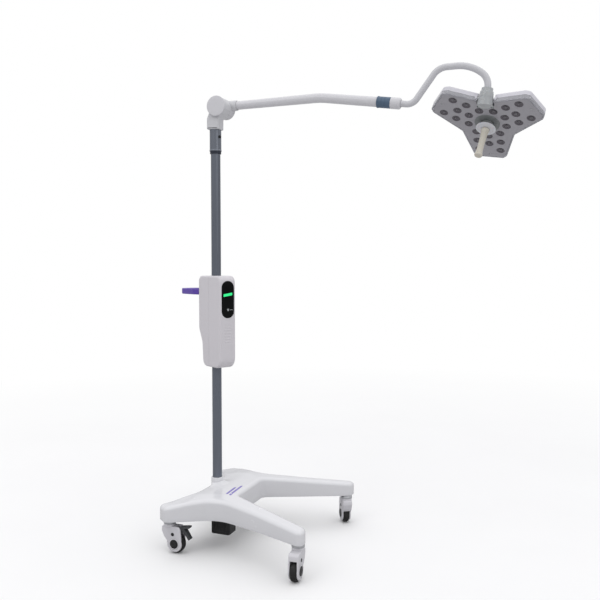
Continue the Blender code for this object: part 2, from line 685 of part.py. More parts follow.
# ---------------------------------------------------------------- arm
# A level run, a gentle bend down, then a straight sloping run into the ring
drop = math.radians(ARM_DROP)
run = Vector((math.cos(drop), 0, -math.sin(drop)))
path = [Vector((HUB_X + 0.020 + t, ARM_Y, ARM_LEVEL_Z)) for t in (0.0, 0.18)]
bend_start_x = ARM_BEND_X - ARM_BEND_R * math.tan(drop / 2)
for k in range(5):
    angle = drop * k / 4
    path.append(Vector((bend_start_x + ARM_BEND_R * math.sin(angle), ARM_Y,
                        ARM_LEVEL_Z - ARM_BEND_R * (1 - math.cos(angle)))))
bend_end = path[-1]
reach = (RING_X[0] + 0.006 - bend_end.x) / math.cos(drop)
for k in (1, 2):
    path.append(bend_end + run * reach * k / 2)
stations = [0.0]
for start, end in zip(path, path[1:]):
    stations.append(stations[-1] + (end - start).length)
radii = [ARM_R[0] + (ARM_R[1] - ARM_R[0]) * s / stations[-1] for s in stations]
finish("arm_tube", sweep(path, radii, 16, [radius - ARM_WALL for radius in radii]),
       colour=WHITE, rough=0.3, origin=(HUB_X, ARM_Y, HUB_Z))


def arm_rod(x0, x1, radius):
    """A round rod on the axis of the arm's level run, from x0 to x1 past the hub."""
    ends = [Vector((HUB_X + x, ARM_Y, ARM_LEVEL_Z)) for x in (x0, x1)]
    return sweep(ends, [radius, radius], 16)


hub = finish("arm_hub",
             lathe([(0, 0.0176), (HUB_R, 0.0176), (HUB_R, 0.0560), (HUB_R - 0.004, 0.0600),
                    (0, 0.0600)], 20),
             colour=(0.74, 0.75, 0.78), rough=0.35, matrix=hub_frame)
join(hub, arm_rod(0.0, 0.056, 0.0205))
cut(hub, arm_rod(0.0195, 0.10, ARM_R[0] + 2 * GAP))
cut(hub, cylinder(0.0093, 0.0100, 0.0463, 12), hub_frame)
cut(hub, cylinder(0.0210, 0.0100, 0.0182, 12), hub_frame)

# Ring, spindle and sleeve at the arm's end, in a frame whose z runs along the arm
ring_start = bend_end + run * ((RING_X[0] - bend_end.x) / math.cos(drop))
ring_z = run.normalized()
ring_x = Vector((0, 1, 0)).cross(ring_z).normalized()
ring_frame = frame_from(ring_start, ring_x, ring_z.cross(ring_x), ring_z)
ring_len = (RING_X[1] - RING_X[0]) / math.cos(drop)
sleeve_len = (END_SLEEVE_X - RING_X[1]) / math.cos(drop)
sleeve_end = ring_len + sleeve_len
finish("arm_ring",
       lathe([(0.0190, 0.0), (RING_R - 0.001, 0.0), (RING_R, 0.0010), (RING_R, 0.0050),
              (RING_R - 0.0010, 0.0060), (RING_R - 0.0010, ring_len - 0.0030),
              (RING_R - 0.0025, ring_len - GAP), (0.0105, ring_len - GAP),
              (0.0105, 0.0075), (0.0190, 0.0075)]),
       colour=(0.12, 0.16, 0.24), rough=0.3, metal=0.3, matrix=ring_frame)
end_sleeve = finish("end_sleeve",
                    lathe([(0, ring_len), (0.0205, ring_len), (0.0210, ring_len + 0.001),
                           (0.0210, sleeve_end - 0.006), (0.0160, sleeve_end),
                           (0, sleeve_end)]),
                    colour=WHITE, rough=0.3, matrix=ring_frame)
cut(end_sleeve, cylinder(0.0103, ring_len - 0.01, ring_len + 0.0150, 14), ring_frame)
cut(end_sleeve, cylinder(GOOSE_R + 2 * GAP, ring_len + GOOSE_SEAT - GAP, ring_len + 0.06, 14),
    ring_frame)
finish("roll_spindle", cylinder(0.0100, 0.0110, ring_len + 0.0147, 14),
       colour=(0.62, 0.63, 0.65), rough=0.25, metal=0.9, matrix=ring_frame)


# ---------------------------------------------------------------- gooseneck
def heading_vector(heading):
    return Vector((math.cos(heading), 0, math.sin(heading)))


# A walk of straights and arcs, starting inside the end sleeve
goose = [ring_start + run * (ring_len + GOOSE_SEAT)]
goose.append(goose[0] + run * (sleeve_len - GOOSE_SEAT))
heading = -drop
for radius, straight, degrees in GOOSE_TURNS:
    if straight:
        goose.append(goose[-1] + heading_vector(heading) * straight)
        continue
    steps = max(3, int(abs(degrees) / 11))
    step_angle = math.radians(degrees) / steps
    chord = 2 * radius * math.sin(abs(step_angle) / 2)
    for _ in range(steps):
        heading += step_angle / 2
        goose.append(goose[-1] + heading_vector(heading) * chord)
        heading += step_angle / 2
finish("gooseneck_tube",
       sweep(goose, [GOOSE_R] * len(goose), 12, [GOOSE_R - GOOSE_WALL] * len(goose)),
       colour=WHITE, rough=0.3, origin=goose[0])

# ---------------------------------------------------------------- joint and head frames
goose_dir = heading_vector(heading)
collar_z = -goose_dir  # back up the gooseneck
pivot = goose[-1] + goose_dir * PIVOT_DROP
unswivelled_x = Vector((0, 1, 0)).cross(collar_z).normalized()
swivel = Matrix.Rotation(math.radians(COLLAR_SWIVEL), 3, collar_z)
pin_axis = (swivel @ unswivelled_x).normalized()
collar_y = collar_z.cross(pin_axis).normalized()
tilt = math.radians(HEAD_TILT)
head_y = (collar_y * math.cos(tilt) - collar_z * math.sin(tilt)).normalized()
head_z = pin_axis.cross(head_y).normalized()
centre = pivot + head_y * PIVOT_TO_CENTRE - head_z * PIVOT_ABOVE_LEDS
collar_frame = frame_from(pivot, pin_axis, collar_y, collar_z)
# head frame: z = 0 on the lens face, +z towards the rear cover, pivot on the -y side
head_frame = frame_from(centre, pin_axis, head_y, head_z)
pin_frame = frame_from(pivot, head_y, head_z, pin_axis)

# Joint collar: a ball end below a tapered socket for the gooseneck
ball_r = RECESS_R - 0.0015
profile = [(0, -ball_r)]
for k in range(1, 6):
    angle = math.radians(50.0 * k / 5)
    profile.append((ball_r * math.sin(angle), -ball_r * math.cos(angle)))
profile += [(0.0262, -0.004), (0.0228, 0.0270), (0.0215, 0.0350), (0.0180, 0.0372),
            (GOOSE_R + 0.0005, 0.0372), (GOOSE_R + 0.0005, PIVOT_DROP - 0.0010),
            (0, PIVOT_DROP - 0.0010)]
collar = finish("joint_collar", lathe(profile, 18),
                colour=(0.62, 0.63, 0.66), rough=0.25, matrix=collar_frame)
cut(collar, cylinder(PIN_R + GAP, -0.05, 0.05, 10), pin_frame)
finish("tilt_pin", cylinder(PIN_R, -PIN_HALF_LEN, PIN_HALF_LEN, 10),
       colour=(0.60, 0.61, 0.63), rough=0.25, metal=0.9, matrix=pin_frame)


# ---------------------------------------------------------------- head
def lobes():
    """Angle, outward and sideways directions of each lobe; the first lobe points along +Y."""
    for k in range(3):
        angle = math.radians(90 + 120 * k)
        outward = Vector((math.cos(angle), math.sin(angle)))
        yield angle, outward, Vector((-outward.y, outward.x))


def head_outline(inset=0.0, near_notch=NOTCH_R):
    """Three-lobed outline in head coordinates; the notch after the second lobe faces the pivot."""
    shoulder, shoulder_half_w = LOBE_SHOULDER
    points, corner_radii = [], []
    for k, (angle, outward, sideways) in enumerate(lobes()):
        for u, v in ((shoulder, -shoulder_half_w), (LOBE_R, -LOBE_TIP_HALF_W),
                     (LOBE_R, LOBE_TIP_HALF_W), (shoulder, shoulder_half_w)):
            point = outward * u + sideways * v
            points.append((point.x, point.y))
            corner_radii.append(max(0.0015, 0.012 - inset))
        notch_angle = angle + math.radians(60)
        notch = near_notch if k == 1 else NOTCH_R
        points.append((notch * math.cos(notch_angle), notch * math.sin(notch_angle)))
        corner_radii.append(0.020 + inset)
    moved = offset(points, inset)
    return fillet([(x, y, radius) for (x, y), radius in zip(moved, corner_radii)], 2)


def cut_recess(ob):
    """Clears the joint collar."""
    cut(ob, cylinder(RECESS_R, -RECESS_HALF_W, RECESS_HALF_W, 18), pin_frame)
    cut(ob, prism(rect(-RECESS_HALF_W, RECESS_HALF_W, -PIVOT_TO_CENTRE - 0.06,
                       -PIVOT_TO_CENTRE + 0.031), PIVOT_ABOVE_LEDS, RECESS_TOP), head_frame)


# Rear cover: a dish, closed at the back, that sits on the rim. Rows: outline inset, z
COVER_OUTER = ((0.0005, RIM_T + GAP), (0.0005, 0.030), (0.0030, 0.0365), (0.0100, HEAD_T),
               (0.0200, HEAD_T + 0.0015))
COVER_INNER = ((0.0035, RIM_T + GAP), (0.0035, 0.029), (0.0110, HEAD_T - 0.003),
               (0.0200, HEAD_T - 0.0015))
bm, _ = dish([level(head_outline(inset), z) for inset, z in COVER_OUTER],
             [level(head_outline(inset, COVER_NEAR_NOTCH_R), z) for inset, z in COVER_INNER])
cover = finish("head_rear_cover", bm, colour=(0.80, 0.79, 0.84), rough=0.25,
               matrix=head_frame, origin=pivot)
# round ears on both sides of the recess hold the tilt pin
EAR_STARTS = (-RECESS_HALF_W - EAR_LEN, RECESS_HALF_W)
for ear_start in EAR_STARTS:
    join(cover, cylinder(EAR_R, 0.0, EAR_LEN, 12), pin_frame @ shifted(0, 0, ear_start))
cut_recess(cover)
cut(cover, cylinder(PIN_R + GAP, -PIN_HALF_LEN - GAP, PIN_HALF_LEN + GAP, 10), pin_frame)


def cut_ear_room(ob):
    for ear_start, nudge in zip(EAR_STARTS, (EAR_GAP, 0.0)):
        cut(ob, cylinder(EAR_R + EAR_GAP, -0.001, EAR_LEN + EAR_GAP, 12),
            pin_frame @ shifted(0, 0, ear_start + nudge))


# Rim round the panel, as a closed section: outline inset, z
RIM_SECTION = ((0.0, 0.0010), (0.0, RIM_T), (0.0060, RIM_T), (0.0060, 0.0), (0.0012, 0.0))
rim = finish("head_rim",
             loft([level(head_outline(inset), z) for inset, z in RIM_SECTION], close=True),
             colour=(0.80, 0.81, 0.84), rough=0.1, matrix=head_frame, origin=pivot)
cut_recess(rim)
cut_ear_room(rim)

# Lens panel with a conical well over every emitter
panel = finish("led_panel", prism(head_outline(0.0063), 0.0, PANEL_TOP),
               colour=(0.42, 0.41, 0.43), rough=0.35, matrix=head_frame, origin=pivot,
               smooth=False)
cut_recess(panel)
wells = bmesh.new()
for _, outward, sideways in lobes():
    for u, v in LEDS:
        for sign in ((-1, 1) if v else (1,)):
            led = outward * u + sideways * v * sign
            loft([circle(LENS_R + 0.0002, -0.0010, 8, led.x, led.y),
                  circle(LENS_R - 0.0040, PANEL_TOP - 0.0010, 8, led.x, led.y)], bm=wells)
cut(panel, wells, head_frame)
cut(panel, cylinder(0.0216, -0.01, 0.02), head_frame)

# Circuit board and finned heat sink behind the panel
board = finish("led_board", prism(head_outline(0.0110), PANEL_TOP + GAP, PANEL_TOP + 0.0019),
               colour=(0.08, 0.30, 0.16), rough=0.5, matrix=head_frame, origin=pivot,
               smooth=False)
cut_recess(board)
cut_ear_room(board)
cut(board, cylinder(0.0083, -0.01, 0.02, 12), head_frame)
sink = finish("heat_sink", prism(head_outline(0.0150), PANEL_TOP + 0.0022, 0.0100),
              colour=(0.66, 0.67, 0.69), rough=0.4, metal=0.9, matrix=head_frame,
              origin=pivot, smooth=False)
cut_recess(sink)
cut_ear_room(sink)
for k in range(5):
    fin_y = -0.030 + 0.020 * k
    join(sink, prism(rect(-0.060, 0.060, fin_y, fin_y + 0.004), 0.0098, 0.0220), head_frame)
cut(sink, cylinder(0.0083, -0.01, 0.012, 12), head_frame)

# Handle: neck, flange and core fixed to the head, with the grip pulled over the core
FLANGE_PROFILE = [
    (0.0, 0.0040), (0.0210, 0.0040), (0.0210, -0.0040), (0.0150, -0.0100), (0.0150, -0.0210),
    (FLANGE_R - 0.004, -0.0225), (FLANGE_R, -0.0240), (FLANGE_R - 0.003, -0.0265),
    (0.0130, -0.0280), (0.0075, -0.0280), (0.0075, -0.0900), (0, -0.0900),
]
GRIP_PROFILE = [
    (0.0078, -0.0283), (0.0140, -0.0283), (0.0150, -0.0330), (0.0128, -0.0420),
    (0.0118, -0.0700), (0.0112, -0.1000), (0.0120, -0.1250), (0.0145, -0.1390),
    (0.0140, -0.1440), (0.0110, -HANDLE_LEN - 0.001), (0, -HANDLE_LEN - 0.001),
    (0, -0.0903), (0.0078, -0.0903),
]
finish("handle_flange", lathe(FLANGE_PROFILE, 18),
       colour=(0.82, 0.83, 0.86), rough=0.2, matrix=head_frame, origin=centre)
finish("handle_grip", lathe(GRIP_PROFILE),
       colour=(0.72, 0.70, 0.62), rough=0.5, matrix=head_frame, origin=centre)

# A countersunk screw near each lobe tip holds the panel
PANEL_SCREW_PROFILE = [
    (0, 0.0031), (0.0016, 0.0031), (0.0033, 0.0008), (0.0033, -0.0006), (0, -0.0010),
]
for k, (_, outward, _) in enumerate(lobes()):
    spot = outward * PANEL_SCREW_AT
    screw_frame = head_frame @ shifted(spot.x, spot.y, 0)
    cut(panel, cylinder(0.0036, -0.01, 0.0034, 10), screw_frame)
    finish("panel_screw_%d" % (k + 1), lathe(PANEL_SCREW_PROFILE, 10),
           colour=(0.65, 0.66, 0.68), rough=0.3, metal=0.9, matrix=screw_frame)

# ---------------------------------------------------------------- origin
# It goes on the floor under the middle of the overall box.
bpy.context.view_layer.update()
seen = [o.matrix_world @ v.co for o in bpy.data.objects for v in o.data.vertices]
xs, ys, zs = zip(*seen)
shift = Vector(((min(xs) + max(xs)) / 2, (min(ys) + max(ys)) / 2, min(zs)))
for ob in bpy.data.objects:
    ob.location -= shift
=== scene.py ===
"""Looks for a mobile surgical light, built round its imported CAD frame.

Metres, +Z up. Lengths are measured from the foot of the pole; POLE_FOOT carries them into the
frame. A base on four casters carries the pole, with a control box part way up. The arm reaches
along +X on the +Y side of the hub and ends in a gooseneck that holds the three-lobed head.
"""

import json
from math import atan2, copysign, cos, dist, hypot, pi, radians, sin, tan

import bmesh
import bpy
from mathutils import Matrix, Vector
from mathutils.geometry import delaunay_2d_cdt

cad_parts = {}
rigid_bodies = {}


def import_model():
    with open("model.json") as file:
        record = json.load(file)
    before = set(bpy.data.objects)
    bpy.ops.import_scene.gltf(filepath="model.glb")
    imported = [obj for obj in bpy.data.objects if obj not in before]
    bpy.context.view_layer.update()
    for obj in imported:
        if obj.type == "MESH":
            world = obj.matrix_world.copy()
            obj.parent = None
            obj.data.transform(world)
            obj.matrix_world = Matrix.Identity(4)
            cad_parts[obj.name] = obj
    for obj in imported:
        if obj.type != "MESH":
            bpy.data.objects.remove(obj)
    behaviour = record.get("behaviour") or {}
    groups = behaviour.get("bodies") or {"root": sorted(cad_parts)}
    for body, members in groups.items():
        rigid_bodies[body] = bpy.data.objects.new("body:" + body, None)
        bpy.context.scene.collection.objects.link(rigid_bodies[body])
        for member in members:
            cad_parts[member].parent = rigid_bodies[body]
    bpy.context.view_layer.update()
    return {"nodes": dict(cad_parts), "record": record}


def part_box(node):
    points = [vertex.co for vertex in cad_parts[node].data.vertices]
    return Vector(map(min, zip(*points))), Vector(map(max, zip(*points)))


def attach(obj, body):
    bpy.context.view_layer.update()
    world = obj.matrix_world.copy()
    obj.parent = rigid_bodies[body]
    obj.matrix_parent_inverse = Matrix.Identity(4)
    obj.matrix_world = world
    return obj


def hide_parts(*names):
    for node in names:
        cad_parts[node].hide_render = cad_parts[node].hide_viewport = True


for old_object in list(bpy.data.objects):
    bpy.data.objects.remove(old_object, do_unlink=True)

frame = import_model()
pole_low, pole_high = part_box("pole_tube")
POLE_FOOT = Vector(((pole_low.x + pole_high.x) / 2, (pole_low.y + pole_high.y) / 2, 0.0))
BODIES = frame["record"]["behaviour"]["bodies"]
NODE_BODY = {node: body for body, nodes in BODIES.items() for node in nodes}

# ---------------------------------------------------------------- dimensions, as in the CAD
GAP = 0.0003  # clearance between mating pieces
POLE_R = 0.019
POLE_TOP = 1.5575
SLEEVE_R = 0.023
SLEEVE_LOW, SLEEVE_HIGH = 1.5320, 1.6480

BASE_Z = 0.125
BASE_TOP_Z = 0.200
BASE_CROWN = 0.008
BASE_SHOULDER = 0.006  # depth below the side height at which the rounded shoulder starts
COVER_WALL = 0.004
COLLAR_R = 0.0245
COLLAR_TOP = 0.229

WHEEL_R = 0.0375
WHEEL_W = 0.022
TRAIL = 0.028  # from the swivel axis to the axle
FORK_W = 0.038
FORK_SLOT = 0.0265
CASTERS = {  # x, y, heading in degrees
    "front_left": (0.4636, 0.278, 121.0),
    "front_right": (0.4636, -0.278, 273.5),
    "rear_left": (-0.0753, 0.2414, 48.0),
    "rear_right": (-0.0753, -0.2414, 0.0),
}

BOX_HEADING = -31.5
BOX_FRONT = 0.088
BOX_REAR = 0.084
BOX_W = 0.072
BOX_LOW, BOX_HIGH = 0.681, 1.047
BOX_WALL = 0.003
DISPLAY_W = 0.056
DISPLAY_LOW, DISPLAY_HIGH = 0.881, 1.027
BUTTON_DROP = 0.040  # below the middle of the display
HANDLE_Z = 0.981
HANDLE_OUT = 0.236

HUB_X = 0.022
HUB_Z = 1.7135
HUB_R = 0.038
ARM_Y = 0.040
ARM_LEVEL_Z = 1.726
ARM_BEND_X = 0.430
ARM_BEND_R = 0.30
ARM_DROP = radians(8.8)
ARM_START_R, ARM_END_R = 0.0165, 0.0185
RING_X = (0.6540, 0.7048)
RING_R = 0.0215
END_SLEEVE_X = 0.742
GOOSE_R = 0.0118
GOOSE_TURNS = (  # bend radius, straight length, degrees turned upward
    (0.000, 0.020, 0.0), (0.040, 0.0, 62.0), (0.000, 0.100, 0.0), (0.058, 0.0, -53.2),
    (0.000, 0.033, 0.0), (0.140, 0.0, -40.0), (0.058, 0.0, -58.7), (0.000, 0.022, 0.0),
)

COLLAR_SWIVEL = -2.7
HEAD_TILT = 28.1
PIVOT_DROP = 0.016
PIVOT_TO_CENTRE = 0.118
PIVOT_ABOVE_LEDS = 0.012
PIN_HOLE_R = 0.0043
LOBE_R = 0.2030
LOBE_TIP_W = 0.049  # half width
LOBE_SHOULDER = (0.1885, 0.0625)  # along the lobe, half width
NOTCH_R = 0.1105
INNER_NOTCH_R = 0.074  # cover cavity's notch beside the pivot
PANEL_TOP = 0.004
RIM_T = 0.015
HEAD_T = 0.040
RECESS_R = 0.038
RECESS_W = 0.030  # half width
EAR_R = 0.0075
EAR_T = 0.008
EAR_STARTS = (-RECESS_W - EAR_T, RECESS_W)
LED_ROWS = (  # along the lobe, sideways each way
    (0.0537, 0.0434), (0.1047, 0.0434), (0.1557, 0.0400), (0.0736, 0.0), (0.1191, 0.0),
)
LENS_R = 0.0160
FLANGE_R = 0.036
HANDLE_LEN = 0.145
LOBE_SCREW_OUT = 0.1806


# ---------------------------------------------------------------- materials
def feed(tree, node, sockets):
    """Sets each input to a value, or links it when given an output."""
    for key, value in sockets.items():
        if isinstance(value, bpy.types.NodeSocket):
            tree.links.new(value, node.inputs[key])
        else:
            node.inputs[key].default_value = value


def add(tree, kind, sockets, **settings):
    node = tree.nodes.new("ShaderNode" + kind)
    for key, value in settings.items():
        setattr(node, key, value)
    feed(tree, node, sockets)
    return node


def noise(tree, scale, detail, rough, stretch=(1, 1, 1)):
    coords = add(tree, "TexCoord", {}).outputs["Object"]
    mapped = add(tree, "Mapping", {"Scale": stretch, "Vector": coords}).outputs["Vector"]
    return add(tree, "TexNoise", {
        "Scale": scale, "Detail": detail, "Roughness": rough, "Vector": mapped,
    }).outputs["Fac"]


def remap(tree, value, source, target):
    return add(tree, "MapRange", {
        "From Min": source[0], "From Max": source[1],
        "To Min": target[0], "To Max": target[1], "Value": value,
    }).outputs["Result"]


def mix(tree, factor, first, second):
    """Blends two colours; inputs 0, 6 and 7 and output 2 are the node's colour sockets."""
    first, second = (
        (*colour, 1.0) if isinstance(colour, tuple) else colour for colour in (first, second)
    )
    return add(tree, "Mix", {0: factor, 6: first, 7: second}, data_type="RGBA").outputs[2]


def surface(name, rgb, rough, metal=0.0, mottle=(0.05, 7), speck=(0.03, 900),
            bump=(0.06, 1400, 0.0004), smudge=(0.07, 28), stretch=(1, 1, 1), wear=None,
            crease_shade=0.0, crease_shade_rgb=None, coat=0.0, transmission=0.0, ior=1.46, sss=0.0,
            glow=None, aniso=0.0):
    """A finish with colour drift, speckle, uneven gloss, bump, worn edges and painted shade in
    creases.

    mottle, speck and smudge are (amount, noise scale); bump is (strength, noise scale, depth);
    wear is the colour of worn edges and glow is (colour, strength).
    """
    material = bpy.data.materials.new(name)
    material.use_nodes = True
    tree = material.node_tree
    shader = tree.nodes["Principled BSDF"]

    amount, scale = mottle
    drift = remap(tree, noise(tree, scale, detail=4.0, rough=0.6, stretch=stretch),
                  (0.30, 0.70), (0, 1))
    colour = mix(tree, drift, tuple(c * (1 - amount) for c in rgb),
                 tuple(c * (1 + amount * 0.6) for c in rgb))
    amount, scale = speck
    if amount:
        spots = remap(tree, noise(tree, scale, detail=2.0, rough=0.5, stretch=stretch),
                      (0.52, 0.72), (0, 0.8))
        colour = mix(tree, spots, colour, tuple(c * (1 - amount * 2.2) for c in rgb))
    # Painted shade: where ambient occlusion finds a hollow, the colour is darkened toward a
    # darker shade colour.
    if crease_shade:
        hollow = add(tree, "AmbientOcclusion", {"Distance": 0.012}, samples=10).outputs["AO"]
        colour = mix(tree, remap(tree, hollow, (0.30, 0.80), (crease_shade, 0.0)), colour,
                     crease_shade_rgb or tuple(c * 0.35 for c in rgb))
    if wear:
        edge = add(tree, "NewGeometry", {}).outputs["Pointiness"]
        patches = noise(tree, 60.0, detail=5.0, rough=0.7)
        mask = add(tree, "Math", {
            0: remap(tree, edge, (0.56, 0.68), (0.0, 1.0)),
            1: remap(tree, patches, (0.42, 0.62), (0.0, 0.75)),
        }, operation="MULTIPLY")
        colour = mix(tree, mask.outputs[0], colour, wear)

    amount, scale = smudge
    gloss = remap(tree, noise(tree, scale, detail=5.0, rough=0.62, stretch=stretch),
                  (0.30, 0.72), (rough - amount, rough + amount))
    feed(tree, shader, {
        "Base Color": colour, "Metallic": metal, "IOR": ior, "Roughness": gloss,
        "Coat Weight": coat, "Transmission Weight": transmission,
        "Subsurface Weight": sss, "Anisotropic": aniso,
    })
    if coat:
        feed(tree, shader, {"Coat Roughness": 0.12})
    if sss:
        feed(tree, shader, {
            "Subsurface Radius": (0.008, 0.006, 0.005), "Subsurface Scale": 0.6,
        })
    if glow:
        feed(tree, shader, {"Emission Color": (*glow[0], 1.0), "Emission Strength": glow[1]})
    strength, scale, depth = bump
    height = noise(tree, scale, detail=3.0, rough=0.5, stretch=stretch)
    relief = add(tree, "Bump", {"Strength": strength, "Distance": depth, "Height": height})
    feed(tree, shader, {"Normal": relief.outputs["Normal"]})
    material.diffuse_color = (*rgb, 1.0)
    return material
